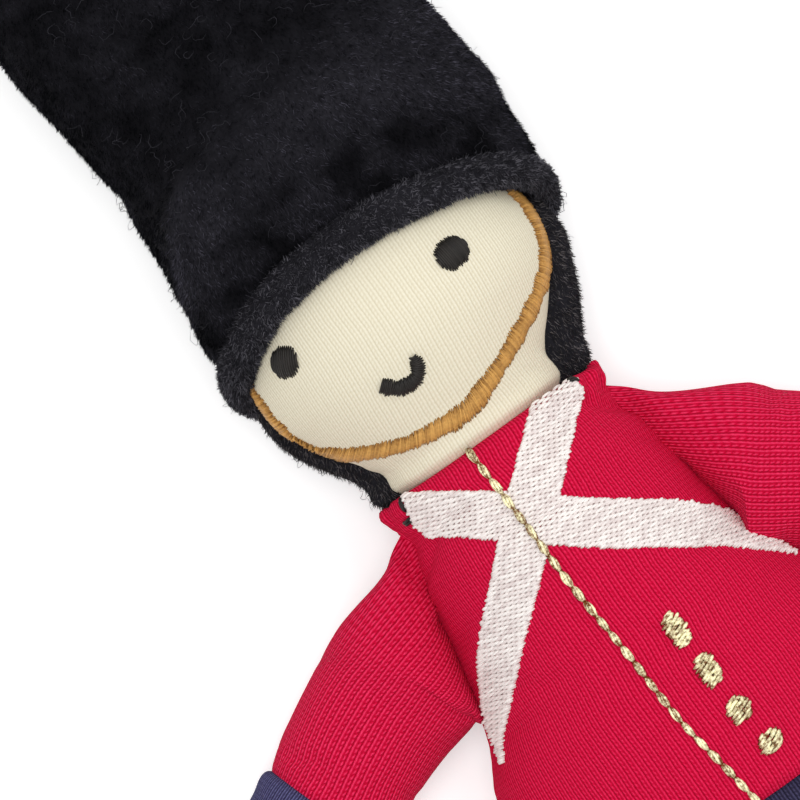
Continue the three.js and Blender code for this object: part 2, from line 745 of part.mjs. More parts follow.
function arm(side, name, droop) {
  const turn = THREE.MathUtils.degToRad(droop);
  const out = [side * Math.cos(turn), -Math.sin(turn)];
  const across = [side * Math.sin(turn), Math.cos(turn)];
  const restZ = armHalfDepth - pressed;
  const armLength = sleeveLength + cuffLength + handLength;
  const top = [side * (shoulderHalf + 2 * seamRelief), armSeamTopY];
  const bottom = [side * (armpitHalf + 2 * seamRelief), armpitY];
  const root = [(top[0] + bottom[0]) / 2, (top[1] + bottom[1]) / 2];
  const centreAt = (s) => {
    const bow = armBow * Math.sin((Math.PI * Math.min(s, sleeveLength)) / sleeveLength);
    return [root[0] + out[0] * s + across[0] * bow, root[1] + out[1] * s + across[1] * bow];
  };
  const depthAt = (s) => seamHalf
    + (armHalfDepth - seamHalf) * Math.sin((Math.PI / 2) * Math.min(1, s / armSwell));
  const seamAt = (s) => restZ + (seamZ - restZ) * Math.cos((Math.PI / 2) * Math.min(1, s / armSwell));
  const plain = (s, half, depth = depthAt(s)) => limbSection(
    s, centreAt(s), across, half, Math.max(seamAt(s), depth - pressed), depth, depth);
  const rootStation = {
    at: 0, leftX: bottom[0], leftY: bottom[1], rightX: top[0], rightY: top[1],
    seam: seamZ, front: seamHalf, back: seamHalf,
  };
  const swollen = plain(armSwell, sleeveHalf);
  const between = (t) => {
    const mixed = { at: armSwell * t };
    for (const field of fields) {
      mixed[field] = rootStation[field] * (1 - t) + swollen[field] * t;
    }
    mixed.seam = seamAt(mixed.at);
    mixed.front = depthAt(mixed.at);
    mixed.back = depthAt(mixed.at);
    return mixed;
  };
  const cuffEnd = sleeveLength + cuffLength;
  const rings = makeRings([
    rootStation,
    between(0.25),
    between(0.5),
    between(0.75),
    swollen,
    plain(sleeveLength, sleeveEndHalf),
    plain(cuffEnd, cuffEndHalf),
    plain(cuffEnd + handLength * 0.2, wristHalf, armHalfDepth * 0.89),
    plain(cuffEnd + handLength * 0.55, handHalf, armHalfDepth * 0.93),
    plain(cuffEnd + handLength * 0.85, handHalf * 0.72, armHalfDepth * 0.7),
    plain(armLength, handHalf * 0.28, armHalfDepth * 0.3),
  ], 0);
  const form = (amount) => loft(grow(rings, amount), limbSegments, 1.1, 1);
  const skin = form(0).subtract(form(-jersey)).intersect(table);
  const cut = (s, direction) => {
    const place = centreAt(s);
    return halfSpace([place[0], place[1], 0], [out[0] * direction, out[1] * direction, 0]);
  };
  const cuffSkin = form(cuffProud).subtract(form(cuffProud - jersey)).intersect(table);
  addPart(`${name}_sleeve`, skin.intersect(cut(sleeveLength - gap / 2, -1)), cloth(red));
  addPart(`${name}_cuff`,
    cuffSkin.intersect(cut(sleeveLength + gap / 2, 1)).intersect(cut(cuffEnd - gap / 2, -1)),
    cloth(navyCuff));
  addPart(`${name}_hand`, skin.intersect(cut(cuffEnd + gap / 2, 1)), cloth(cream));
  addPart(`${name}_arm_filling`, form(-jersey - gap), cloth(wadding));
}

arm(-1, 'right', rightArmDroop);
arm(1, 'left', leftArmDroop);

// Legs: a trouser leg and a boot over one filling, pinched flat at the hip seam

function leg(side, name) {
  const centreX = side * (legHalf + legGap / 2);
  const restZ = legHalfDepth - pressed;
  const rootY = crotchY - 2 * seamRelief;
  const depthAt = (s) => seamHalf
    + (legHalfDepth - seamHalf) * Math.sin((Math.PI / 2) * Math.min(1, s / legSwell));
  const seamAt = (s) => restZ + (seamZ - restZ) * Math.cos((Math.PI / 2) * Math.min(1, s / legSwell));
  const across = [1, 0];
  const station = (s, half, front = depthAt(s), back = depthAt(s), seam = seamAt(s)) => limbSection(
    s, [centreX, rootY - s], across, half, seam, front, back);
  const ankle = legLength - bootHeight;
  const foot = legHalfDepth + bootToe;
  const rings = makeRings([
    station(0, legHalf),
    station(legSwell * 0.25, legHalf),
    station(legSwell * 0.5, legHalf),
    station(legSwell * 0.75, legHalf),
    station(legSwell, legHalf),
    station(ankle, ankleHalf, legHalfDepth * 0.92, legHalfDepth),
    station(ankle + bootHeight * 0.4, ankleHalf, legHalfDepth * 1.06, legHalfDepth),
    station(legLength - soleRound, toeHalf, foot, legHalfDepth),
    station(legLength - soleRound * 0.28, toeHalf * 0.87, foot * 0.9, legHalfDepth * 0.88),
    station(legLength, toeHalf * 0.58, foot * 0.69, legHalfDepth * 0.55),
  ], 0);
  const form = (amount) => loft(grow(rings, amount), limbSegments, 1.1, 1);
  const skin = form(0).subtract(form(-jersey)).intersect(table);
  const cut = (s, direction) => halfSpace([0, rootY - s, 0], [0, -direction, 0]);
  addPart(`${name}_trouser_leg`, skin.intersect(cut(ankle - gap / 2, -1)), cloth(navy));
  addPart(`${name}_boot`, skin.intersect(cut(ankle + gap / 2, 1)), cloth(black));
  addPart(`${name}_leg_filling`, form(-jersey - gap), cloth(wadding));
}

leg(-1, 'right');
leg(1, 'left');

export default group;
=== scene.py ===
# %% [markdown]
# # A stuffed cloth doll in a guard's uniform
# The real doll is a few bags of knitted cloth, stuffed and sewn to each other, with a plush hat.
# Everything on its front is thread: the eyes, the smile, the chin strap, the belts and the gold.
# So the plan follows the maker's: cut and join the cloth, stuff it, embroider it, and raise the pile.

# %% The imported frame, its size, and what the script works with
import json
import math
import random

import bmesh
import bpy
import numpy as np
from mathutils import Matrix, Vector, noise
from mathutils.bvhtree import BVHTree


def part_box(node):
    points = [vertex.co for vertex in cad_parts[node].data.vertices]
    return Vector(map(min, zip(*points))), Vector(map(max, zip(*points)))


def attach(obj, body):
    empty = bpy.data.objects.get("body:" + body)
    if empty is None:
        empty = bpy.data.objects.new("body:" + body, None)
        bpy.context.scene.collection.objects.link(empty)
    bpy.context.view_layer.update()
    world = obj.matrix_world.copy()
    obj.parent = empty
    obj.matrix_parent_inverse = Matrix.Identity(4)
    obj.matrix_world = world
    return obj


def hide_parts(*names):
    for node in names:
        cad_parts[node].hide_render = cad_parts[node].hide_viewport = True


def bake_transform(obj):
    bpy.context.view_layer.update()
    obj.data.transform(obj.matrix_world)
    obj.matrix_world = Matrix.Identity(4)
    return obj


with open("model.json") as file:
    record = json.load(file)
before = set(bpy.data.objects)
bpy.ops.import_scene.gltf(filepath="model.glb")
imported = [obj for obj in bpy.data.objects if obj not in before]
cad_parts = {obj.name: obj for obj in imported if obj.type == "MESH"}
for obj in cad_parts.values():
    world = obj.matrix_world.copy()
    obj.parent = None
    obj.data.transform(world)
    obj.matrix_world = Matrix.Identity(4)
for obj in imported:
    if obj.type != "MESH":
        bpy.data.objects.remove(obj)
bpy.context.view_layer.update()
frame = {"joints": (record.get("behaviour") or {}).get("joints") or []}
MM = 0.001
scene = bpy.context.scene


def corners(node):
    """Lowest and highest corner of a solid, in millimetres."""
    low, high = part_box(node)
    return low / MM, high / MM


def seam_between(upper, lower):
    """The height along Y where two neighbouring pieces are sewn to each other."""
    return (corners(upper)[0].y + corners(lower)[1].y) / 2


neck_y = seam_between("head_face", "jacket_front")
hem_y = seam_between("jacket_front", "trousers_front")
crotch_y = corners("trousers_front")[0].y
belly_half = corners("jacket_front")[1].x
hat_top_y = corners("hat_crown")[1].y
# The doll lies on its back, and its side seams are this high over the table
seam_z = 13.0
hinge = {joint["name"]: joint for joint in frame["joints"]}
print(f"neck at {neck_y:.1f} mm, hem at {hem_y:.1f} mm, hat top at {hat_top_y:.1f} mm")

# %% [markdown]
# ## Cloth from rings
# A stuffed bag could be sculpted out of a ball, but then nothing would say where its seams lie. It is
# easier to draw as rings across it. Each ring has its two seam points, the height of the seam, and
# how far the cloth swells above and below it. A flat grid is then wrapped onto the rings and welded
# along one side, as a panel is sewn into a tube. The grid keeps its flat coordinates in millimetres,
# so the knit can follow the cloth.


# %% Rings
def ring(at, low_x, high_x, y, seam, front, back):
    """A ring that lies straight across the doll."""
    return (at, low_x, y, high_x, y, seam, front, back)


def run_lengths(line):
    """How far along a line each of its points lies."""
    return np.concatenate([[0], np.cumsum(np.linalg.norm(np.diff(line, axis=0), axis=1))])


def smooth_through(places, values, at):
    """Values along a curve through the stations that never swings past them."""
    places = np.asarray(places, float)
    values = np.asarray(values, float)
    widths = np.diff(places)[:, None]
    slopes = np.diff(values, axis=0) / widths
    before, after = slopes[:-1], slopes[1:]
    steady = before * after > 0
    inner = np.where(steady, 2 * before * after / np.where(steady, before + after, 1), 0)
    tangents = np.concatenate([slopes[:1], inner, slopes[-1:]])
    i = np.clip(np.searchsorted(places, at, side="right") - 1, 0, len(widths) - 1)
    t = (np.asarray(at)[:, None] - places[i][:, None]) / widths[i]
    rise = values[i + 1] - values[i]
    a, b = tangents[i] * widths[i], tangents[i + 1] * widths[i]
    return values[i] + a * t + (3 * rise - 2 * a - b) * t**2 + (a + b - 2 * rise) * t**3


def ring_points(stations, rows, around, front_power, back_power):
    """Points on the cloth, row by row along the piece and step by step round each ring."""
    stations = np.asarray(stations, float)
    at = np.linspace(stations[0, 0], stations[-1, 0], rows)
    lx, ly, rx, ry, seam, front, back = smooth_through(stations[:, 0], stations[:, 1:], at).T
    angle = np.linspace(0, 2 * math.pi, around + 1)
    share = (1 + np.cos(angle)) / 2
    rise = np.sin(angle)
    up = np.clip(rise, 0, 1) ** front_power
    down = np.clip(-rise, 0, 1) ** back_power
    x = lx[:, None] + (rx - lx)[:, None] * share
    y = ly[:, None] + (ry - ly)[:, None] * share
    z = seam[:, None] + front[:, None] * up - back[:, None] * down
    return np.stack([x, y, np.maximum(z, 0)], axis=2)


def gather(points, closed=(True, True)):
    """Draws a closed end of the bag together into one point."""
    for row, shut in zip((0, -1), closed):
        if shut:
            points[row] = points[row, :-1].mean(axis=0)
    return points


# %% Wrapping cloth onto the rings
def into_scene(name, data):
    """An object at the origin that shows a mesh, a curve, a lamp or a camera."""
    made = bpy.data.objects.new(name, data)
    scene.collection.objects.link(made)
    return made


def mesh_object(name, bm):
    """A finished bmesh as an object of its own."""
    mesh = bpy.data.meshes.new(name)
    bm.to_mesh(mesh)
    bm.free()
    return into_scene(name, mesh)


def cloth_lengths(points):
    """Flat coordinates in millimetres: across from the middle of each panel, and along."""
    step = np.linalg.norm(np.diff(points, axis=1), axis=2)
    arc = np.concatenate([np.zeros((len(points), 1)), np.cumsum(step, axis=1)], axis=1)
    around = arc.shape[1] - 1
    front = arc - arc[:, around // 4][:, None]
    back = arc - arc[:, 3 * around // 4][:, None]
    return front, back, run_lengths(points[:, :-1].mean(axis=1))


def wrap(name, points):
    """A flat grid wrapped onto the points, and welded where its edges meet."""
    rows, around = points.shape[0], points.shape[1] - 1
    front, back, along = cloth_lengths(points)
    bm = bmesh.new()
    flat = bm.loops.layers.uv.new("cloth")
    bmesh.ops.create_grid(bm, x_segments=around, y_segments=rows - 1, size=1, calc_uvs=True)
    for face in bm.faces:
        cells = [(loop[flat].uv.x * around, loop[flat].uv.y * (rows - 1)) for loop in face.loops]
        panel = front if sum(c[0] for c in cells) / len(cells) < around / 2 else back
        for loop, (column, row) in zip(face.loops, cells):
            loop[flat].uv = (panel[round(row), round(column)], along[round(row)])
    for vert in bm.verts:
        column = round((vert.co.x + 1) / 2 * around)
        row = round((vert.co.y + 1) / 2 * (rows - 1))
        vert.co = Vector(points[row, column]) * MM
    bmesh.ops.remove_doubles(bm, verts=bm.verts, dist=1e-6)
    bmesh.ops.recalc_face_normals(bm, faces=bm.faces)
    open_edges = sum(1 for edge in bm.edges if not edge.is_manifold)
    piece = mesh_object(name, bm)
    piece.data.shade_smooth()
    print(f"{name}: {len(piece.data.vertices)} points, {open_edges} open edges")
    return piece


def bag(name, stations, rows, around, powers=(1.1, 1.0), closed=(True, True)):
    """Cloth wrapped onto its rings. The powers set how full it is above and below the seam."""
    return wrap(name, gather(ring_points(stations, rows, around, *powers), closed))


# %% [markdown]
# ## Jacket and trousers
# The jacket is a front and a back panel, pinched where they are sewn together at the sides, and
# flattened below by the table. Its edges turn in at the neck and at the hem. The navy seat comes out
# of the hem and closes in a flat seam, which holds both legs. Two flat panels could be sewn and blown
# up by a simulation alone, but their outline would change with every setting. Rings keep the outline,
# and the simulation further down adds only what stuffing does to it.

# %% Jacket
table_drop = seam_z + 0.5
body_powers = (1.55, 1.3)
# Down from the neck seam: reach to the doll's right, to its left, front swell, and the back swell
# as long as the cloth is clear of the table
jacket_shape = [
    (0.0, 19.4, 19.5, 11.6, 10.6), (1.2, 19.6, 20.6, 12.6, 11.2), (2.8, 19.4, 20.2, 13.2, 11.8),
    (5.0, 19.0, 19.0, 14.0, 12.8), (7.5, 18.4, 19.0, 14.9), (12.0, 20.2, 20.6, 16.3),
    (17.0, 21.9, 21.8, 17.3), (24.5, 23.0, 23.3, 18.1), (32.0, 24.6, 24.8, 18.8),
    (38.0, 26.6, 27.2, 19.5), (45.5, 30.4, 30.0, 20.1), (54.0, belly_half, belly_half, 20.4),
    (66.0, 31.2, 31.2, 19.6), (68.0, 30.7, 30.7, 19.2),
]
jacket_length = jacket_shape[-1][0]
neck_lean, lean_end = -0.6, 12
# An edge that turns in: reach to the right, to the left, front and back swell
neck_edge = (19.4, 18.4, 11.4, 10.4)
hem_edge = (30.7, 30.7, 19.2, table_drop)
# Its rings: place along the piece, how far inside the edge, and size
neck_tuck = [(-3.6, 2.8, 0.35), (-2.2, 1.9, 0.8), (-0.9, 0.7, 0.95)]
hem_tuck = [(1.0, 0.5, 0.97), (3.0, 2.5, 0.9), (5.5, 4.0, 0.4)]


def jacket_ring(down, right, left, front, back=table_drop):
    lean = neck_lean * max(0, 1 - down / lean_end)
    return ring(down, lean - right, lean + left, neck_y - down, seam_z, front, back)


def tucked_ring(at, y, size, right, left, front, back):
    return ring(at, -right * size, left * size, y, seam_z, front * size, back * size)


stations = [tucked_ring(at, neck_y - inside, size, *neck_edge) for at, inside, size in neck_tuck]
stations += [jacket_ring(*station) for station in jacket_shape]
stations += [
    tucked_ring(jacket_length + at, hem_y + inside, size, *hem_edge) for at, inside, size in hem_tuck
]
jacket = bag("jacket", stations, 74, 96, body_powers)

# %% Trousers
# Down from the hem: half width and front swell
seat_shape = [
    (0.0, 30.2, 18.6), (4.0, 30.0, 18.0), (10.0, 29.0, 16.4), (18.0, 26.6, 10.2), (22.0, 25.8, 4.6),
]
seat_seam_half = 25.5
fuller_back = 1.1


def seat_ring(down, half, front):
    back = min(table_drop, front * fuller_back)
    return ring(down, -half, half, hem_y - down, seam_z, front, back)


stations = [
    ring(-4.0, -12, 12, hem_y + 5, seam_z, 8, 8),
    ring(-2.0, -29, 29, hem_y + 3, seam_z, 17, 13),
]
stations += [seat_ring(*station) for station in seat_shape]
stations.append(ring(hem_y - crotch_y, -seat_seam_half, seat_seam_half, crotch_y, seam_z, 0, 0))
trousers = bag("trousers", stations, 34, 80, body_powers, closed=(True, False))

# %% [markdown]
# ## Head
# One loft makes the cream face down to where the neck goes into the jacket. A second one, a little
# wider, makes the black back of the head: its front is only a low rim beside the face. One mesh in
# two colours would be less work, but the plush stands out past the cheeks, as cloth of its own does.

# %% Face and back of the head
neck_shift = -1.2
neck_half, cheek_half = 15.6, 25.2
neck_length, cheek_height, head_height = 4.0, 23.0, 50.0
neck_front, cheek_front = 12.2, 20.5
neck_back, cheek_back = 11.2, 11.4
face_seam_z = 15.0


def spread(up, at_neck, at_cheek):
    """Grows from the neck to the cheeks as a quarter sine, then closes as a dome."""
    if up <= neck_length:
        return at_neck
    if up <= cheek_height:
        t = (up - neck_length) / (cheek_height - neck_length)
        return at_neck + (at_cheek - at_neck) * math.sin(math.pi / 2 * t)
    t = (up - cheek_height) / (head_height - cheek_height)
    return at_cheek * math.sqrt(max(0, 1 - t * t))


def head_ring(up, right=0.0, left=0.0, rim=None, turn_in=1.0):
    """A ring of the head, with what stands out beyond its right and left side."""
    t = min(1, max(0, up) / cheek_height)
    seam = seam_z + (face_seam_z - seam_z) * t
    half = spread(up, neck_half, cheek_half) * turn_in
    # The left cheek is drawn in over the neck, and the neck's own shift fades towards the cheeks
    pinch = float(np.interp(up, [3, 7, 12, 19], [0, 1.2, 0.8, 0]))
    centre = neck_shift * (1 - t * 0.7)
    front = spread(up, neck_front, cheek_front) * turn_in if rim is None else rim
    back = spread(up, neck_back, cheek_back) * turn_in
    return ring(up, centre - half - right, centre + half - pinch + left, neck_y + up, seam, front, back)


def hair_proud(up):
    """How far the plush stands out on the doll's right and left, less towards the brim."""
    right = np.interp(up, [0, 6, 12, 16, 22, 28], [3.3, 3.5, 3.2, 2.6, 1.7, 0.2])
    left = np.interp(
        up, [0, 2, 4, 7, 12, 15, 18, 21, 28], [5.0, 5.3, 6.4, 7.2, 5.6, 4.5, 3.8, 3.2, 0.6])
    return float(right), float(left)


head_levels = [3, 6, 10, 14, 18.5, 23, 28, 34, 40, 45, 48.5, 49.9]
hair_rim = 3.4
stations = [head_ring(-3.0, turn_in=0.4), head_ring(-1.4, turn_in=0.86), head_ring(0, turn_in=0.955)]
stations += [head_ring(up) for up in [1.3] + head_levels]
face = bag("face", stations, 52, 96, (1.15, 1.0))

stations = [head_ring(-2.4, 1, 1, 1.5, 0.5), head_ring(-0.8, 2.2, 4.4, 3, 0.96)]
stations += [head_ring(up, *hair_proud(up), hair_rim) for up in [0.4] + head_levels[:-1]]
stations.append(head_ring(head_levels[-1], 0, 0, 0.3))
hair = bag("back_of_head", stations, 50, 80, (1.0, 1.0))

# %% [markdown]
# ## Hat
# The crown is a tall plush tube. Its lower rings lean with the brim, which runs lower at the back of
# the head. On the doll's right the tube is folded in above the forehead, so a ridge with a dark
# pocket beside it runs up from the side. A simulation would choose a place of its own for that fold,
# so the cloth is pushed in along a drawn line instead.

# %% Rings of the crown
brim_tilt = math.radians(26)
brim_front = 33.0
brim_height = 6.8
forehead_z = face_seam_z + cheek_front
hat_seam = 20.5
hat_reach = hat_top_y - neck_y
crown_rows, crown_around = 92, 112
# Up from the neck seam: reach to the doll's right and left, highest point, and lowest where raised
crown_shape = [
    (brim_front + 1.5, 10, 12, 25, 14), (brim_front + 3.0, 24.6, 27.4, 31.6, 1),
    (brim_front + 5.2, 26.6, 30.0, 33.4), (brim_front + 8.0, 28.0, 30.4, 36.6),
    (brim_front + 12, 27.7, 30.6, 40.2), (50.0, 27.0, 31.7, 41.6), (57.0, 25.8, 31.0, 41.6),
    (62.0, 25.3, 30.0, 40.7), (67.0, 26.2, 29.2, 39.6), (77.0, 28.1, 28.8, 39.0),
    (90.0, 28.9, 29.4, 39.8), (99.0, 28.8, 30.0, 40.0), (107.0, 27.4, 28.4, 37.8, 0.4),
    (113.6, 22.0, 23.2, 33.4, 4), (117.0, 14.4, 15.6, 29.0, 8.5),
    (hat_reach, 5.0, 6.0, hat_seam + 3, hat_seam - 3),
]


def crown_ring(up, right, left, top, bottom=-0.5):
    return ring(up, -right, left, neck_y + up, hat_seam, top - hat_seam, hat_seam - bottom)


stations = [crown_ring(*shape) for shape in crown_shape]
crown_points = ring_points(stations, crown_rows, crown_around, 1.05, 1.0)
crown_at = np.linspace(crown_shape[0][0], hat_reach, crown_rows)
lean = np.interp(crown_at, [brim_front + 4, 78], [1, 0])[:, None]
crown_points[..., 1] -= (forehead_z - crown_points[..., 2]) * math.tan(brim_tilt) * lean

# %% The fold in the crown
# The ridge in plan, from the side of the hat upwards, and how deep the pocket beside it is
ridge = np.array([
    (-27.6, 74.5), (-25.0, 79.2), (-22.4, 83.6), (-19.4, 88.0), (-15.0, 91.0),
    (-7.0, 92.6), (3.0, 92.0),
])
ridge_depth = np.array([6.0, 8.0, 8.4, 7.2, 5.0, 2.8, 1.0])
pocket_wall = 2.6
pocket_fade = (5.0, 24.0)
crest_width, crest_share = 4.0, 0.16


def smooth_step(start, end, value):
    """Rises softly from 0 to 1 as the value goes from start to end, whichever is the larger."""
    t = np.clip((value - start) / (end - start), 0, 1)
    return t * t * (3 - 2 * t)


def fold_in(points):
    """Pushes the cloth in beyond the ridge, sharply beside it and softly further away."""
    flat = points.reshape(-1, 3)
    front = flat[:, 2] > hat_seam * 0.7
    nearest = np.full(len(flat), 1e9)
    side = np.zeros(len(flat))
    depth = np.zeros(len(flat))
    for a, b, da, db in zip(ridge[:-1], ridge[1:], ridge_depth[:-1], ridge_depth[1:]):
        run = b - a
        t = np.clip(((flat[:, :2] - a) @ run) / (run @ run), 0, 1)
        off = flat[:, :2] - (a + t[:, None] * run)
        far = np.linalg.norm(off, axis=1)
        closer = far < nearest
        nearest = np.where(closer, far, nearest)
        across = run[0] * off[:, 1] - run[1] * off[:, 0]
        side = np.where(closer, np.sign(across), side)
        depth = np.where(closer, da + (db - da) * t, depth)
    beyond = np.where(side > 0, nearest, 0)
    push = smooth_step(0.0, pocket_wall, beyond) * (1 - smooth_step(*pocket_fade, beyond)) * depth
    crest = np.exp(-((nearest / crest_width) ** 2)) * depth * crest_share
    flat[:, 2] += np.where(front, crest - push, 0)
    return flat.reshape(points.shape)


crown = wrap("hat_crown_cloth", gather(fold_in(crown_points)))

# %% [markdown]
# The brim is a rolled edge: an oval section carried round the head on a slanting plane. A bevelled
# curve could make it, but it would make every section alike. So it is a grid wrapped both ways, a
# little uneven because hands rolled it.

# %% Brim of the hat
brim_around, brim_section, rounds = 160, 20, 12
brim_half = 2.35
brim_gap = 0.2
brim_slack = 1.3
brim_low = 0.3
brim_axis = Vector((0, math.cos(brim_tilt), -math.sin(brim_tilt)))


def brim_centre(angle):
    """A point on the middle line of the roll, outside the cloth of the head.

    Its height and the ring of the head there depend on each other, so it is found in rounds.
    """
    x, y, z = 0.0, neck_y, forehead_z
    outside = brim_half + brim_gap
    for _ in range(rounds):
        y = neck_y + brim_front + brim_height / 2 - (forehead_z - z) * math.tan(brim_tilt)
        _, lx, _, rx, _, seam, front, back = head_ring(y - neck_y)
        slack = outside + brim_slack * math.cos(angle)
        x = (lx + rx) / 2 + ((rx - lx) / 2 + slack) * math.cos(angle)
        z = seam + ((front if math.sin(angle) > 0 else back) + outside) * math.sin(angle)
    return Vector((x, y, max(z, brim_half)))


centres = [brim_centre(2 * math.pi * i / brim_around) for i in range(brim_around)]
brim_points = np.zeros((brim_section + 1, brim_around + 1, 3))
for i in range(brim_around + 1):
    centre = centres[i % brim_around]
    along = centres[(i + 1) % brim_around] - centres[(i - 1) % brim_around]
    out = along.cross(brim_axis).normalized()
    uneven = 1 + 0.1 * noise.noise(centre * 0.22) + 0.06 * noise.noise(centre * 0.7)
    for k in range(brim_section + 1):
        turn = 2 * math.pi * k / brim_section
        thick = out * (brim_half * uneven * math.cos(turn))
        tall = brim_axis * (brim_height / 2 * uneven * math.sin(turn))
        point = centre + thick + tall
        brim_points[k, i] = (point.x, point.y, max(point.z, brim_low))
brim = wrap("hat_brim_cloth", brim_points)

# %% [markdown]
# ## Arms and legs
# Each limb is stuffed and pinched flat where it is sewn into a body seam, so it bends there. The
# joint of the frame says where that seam lies and how it runs. Sleeve, cuff and mitten are pieces of
# their own, each tucked a little into the next. A limb comes down from the body's seam until it lies
# on the table, which presses it a little flat. One arm could be the other's mirror image, but arms
# that are stuffed by hand differ. So one function makes both, each with its own droop, bow and width.

# %% Arms
settle_length = 17
pressed_flat = 0.5
arm_depth = 9.2
sleeve_length, cuff_length = 32.0, 8.5
arm_swell = 11.0
root_turn = 9.0
arm_seam_half = 15.7
sewn_in = 1.3
# Along the arm, half width and half depth. The sleeve's depth grows by itself near the shoulder.
sleeve_shape = [(4, 13.5, None), (9, 12.7, None), (15, 12.0, 9.0), (23, 11.4, 9.2), (31, 10.8, 9.0)]
cuff_shape = [(0.0, 10.4, 9.0), (0.8, 11.2, 9.6), (4.4, 11.0, 9.4), (7.8, 10.5, 9.0), (8.5, 9.8, 8.4)]
hand_shape = [
    (0, 8.6, 8.0), (2.8, 8.5, 8.1), (7.6, 9.0, 8.5), (11.4, 7.2, 6.9), (13.4, 4.0, 4.0),
    (14.0, 1.4, 1.4),
]


def unit(x, y):
    return np.array([x, y]) / math.hypot(x, y)


def comes_down(s, rest):
    """Height of a limb's seam, from the body's seam to where the limb lies on the table."""
    return rest + (seam_z - rest) * math.cos(math.pi / 2 * min(1, max(0, s) / settle_length))


def arm(side, name, droop, bow, shoulder_rise, width, sag):
    """Sleeve, cuff and hand of one arm, which droops and bows a little from its seam."""
    joint = hinge[f"{name}_shoulder"]
    root = np.array(joint["pos_m"][:2]) / MM
    along_seam = np.array(joint["axis"][:2])
    along_seam = along_seam * np.sign(along_seam[1])
    heading = np.array([side * math.cos(droop), -math.sin(droop)])
    square = np.array([side * math.sin(droop), math.cos(droop)])

    def limb_ring(s, half, depth, shrink=1.0):
        turned = min(1, max(0, s) / root_turn)
        across = unit(*(along_seam * (1 - turned) + square * turned))
        half *= width
        if depth is None:
            depth = arm_depth * math.sin(math.pi / 2 * min(1, max(0, s) / arm_swell)) ** 0.75
        arc = math.sin(math.pi * min(1, max(0, s) / sleeve_length))
        place = root + heading * s + square * (bow * arc)
        low, high = place - across * (half + sag * arc) * shrink, place + across * half * shrink
        seam = max(comes_down(s, arm_depth - pressed_flat), depth - pressed_flat)
        return (s, *low, *high, seam, depth * shrink, depth * shrink)

    inside = root - heading * sewn_in
    seam_low = inside - along_seam * arm_seam_half
    seam_high = inside + along_seam * (arm_seam_half + shoulder_rise)
    end = sleeve_length
    stations = [(-sewn_in, *seam_low, *seam_high, seam_z, 0, 0)]
    stations += [limb_ring(*station) for station in sleeve_shape]
    stations += [limb_ring(end + 0.4, 10.3, 8.8), limb_ring(end + 2, 10, 8.6, 0.8)]
    stations.append(limb_ring(end + 3, 10, 8.6, 0.3))
    sleeve = bag(f"{name}_sleeve_cloth", stations, 44, 64, closed=(False, True))

    stations = [limb_ring(end - 0.5, 10, 8.6, 0.4)]
    stations += [limb_ring(end + s, half, depth) for s, half, depth in cuff_shape]
    end += cuff_length
    stations.append(limb_ring(end + 0.8, 9, 7.8, 0.4))
    cuff = bag(f"{name}_cuff_cloth", stations, 22, 64)

    stations = [limb_ring(end - 1.5, 8.4, 7.8, 0.5)]
    stations += [limb_ring(end + s, half, depth) for s, half, depth in hand_shape]
    hand = bag(f"{name}_hand_cloth", stations, 30, 56)
    return sleeve, cuff, hand


right_arm = arm(-1, "right", math.radians(22), bow=1.6, shoulder_rise=1.0, width=1.0, sag=0.0)
left_arm = arm(1, "left", math.radians(34), bow=-0.3, shoulder_rise=2.6, width=0.96, sag=2.0)

# %% Legs
ankle = 39.0
leg_depth = 9.8
caught_in_seat = 1.6
# Down from the seam: half width and half depth
trouser_shape = [
    (0.0, 11.4, 1.0), (2.5, 11.5, 4.4), (6, 11.6, 6.9), (11, 11.6, 8.9), (17, 11.4, 9.8),
    (28, 10.6, 9.8), (38, 10.0, 9.5),
]
# Down from the ankle: half width, front swell with the toe, and back swell
boot_shape = [
    (0.0, 9.2, 8.8, 9.2), (0.7, 9.9, 9.5, 9.8), (5, 9.6, 9.6, 9.8), (9.5, 9.7, 10.4, 9.8),
    (14.5, 10.3, 14.6, 9.8), (17.6, 10.5, 16.3, 9.6), (20.0, 9.2, 14.8, 8.6), (21, 6.0, 11.0, 5.6),
]


def leg(name):
    """A trouser leg and a boot with its toe up, below the seam of the seat."""
    root = Vector(hinge[f"{name}_hip"]["pos_m"]) / MM
    caught = crotch_y + caught_in_seat - root.y

    def limb_ring(s, half, front, back, shrink=1.0):
        seam = comes_down(s, leg_depth - pressed_flat)
        half, front, back = half * shrink, front * shrink, back * shrink
        return ring(s, root.x - half, root.x + half, root.y - s, seam, front, back)

    stations = [limb_ring(-caught, 11.4, 0, 0)]
    stations += [limb_ring(s, half, depth, depth) for s, half, depth in trouser_shape]
    stations += [limb_ring(ankle + 1, 9.4, 8.8, 8.8, 0.9), limb_ring(ankle + 3, 9, 8, 8, 0.4)]
    trouser = bag(f"{name}_trouser_cloth", stations, 44, 56, closed=(False, True))
    stations = [limb_ring(ankle - 1.5, 9, 8, 8, 0.4)]
    stations += [limb_ring(ankle + s, half, front, back) for s, half, front, back in boot_shape]
    return trouser, bag(f"{name}_boot_cloth", stations, 34, 64)


# Sleeve, cuff, hand, trouser leg and boot of each side
limbs = {"right": (*right_arm, *leg("right")), "left": (*left_arm, *leg("left"))}

# %% [markdown]
# ## Stuffing
# A stuffed bag is not as even as its rings. Creases could be sculpted, but a simulation puts them
# where cloth under strain has them. It blows each bag up from inside, with a little spare cloth and
# its seams held still, so it strains and puckers between them. Blender's cloth expects things of
# about a metre, so a copy is made twenty times as large, twenty frames are run, and each point then
# moves by at most a small cap.

# %% Blowing up the bags
sim_scale = 20
sim_frames = 20


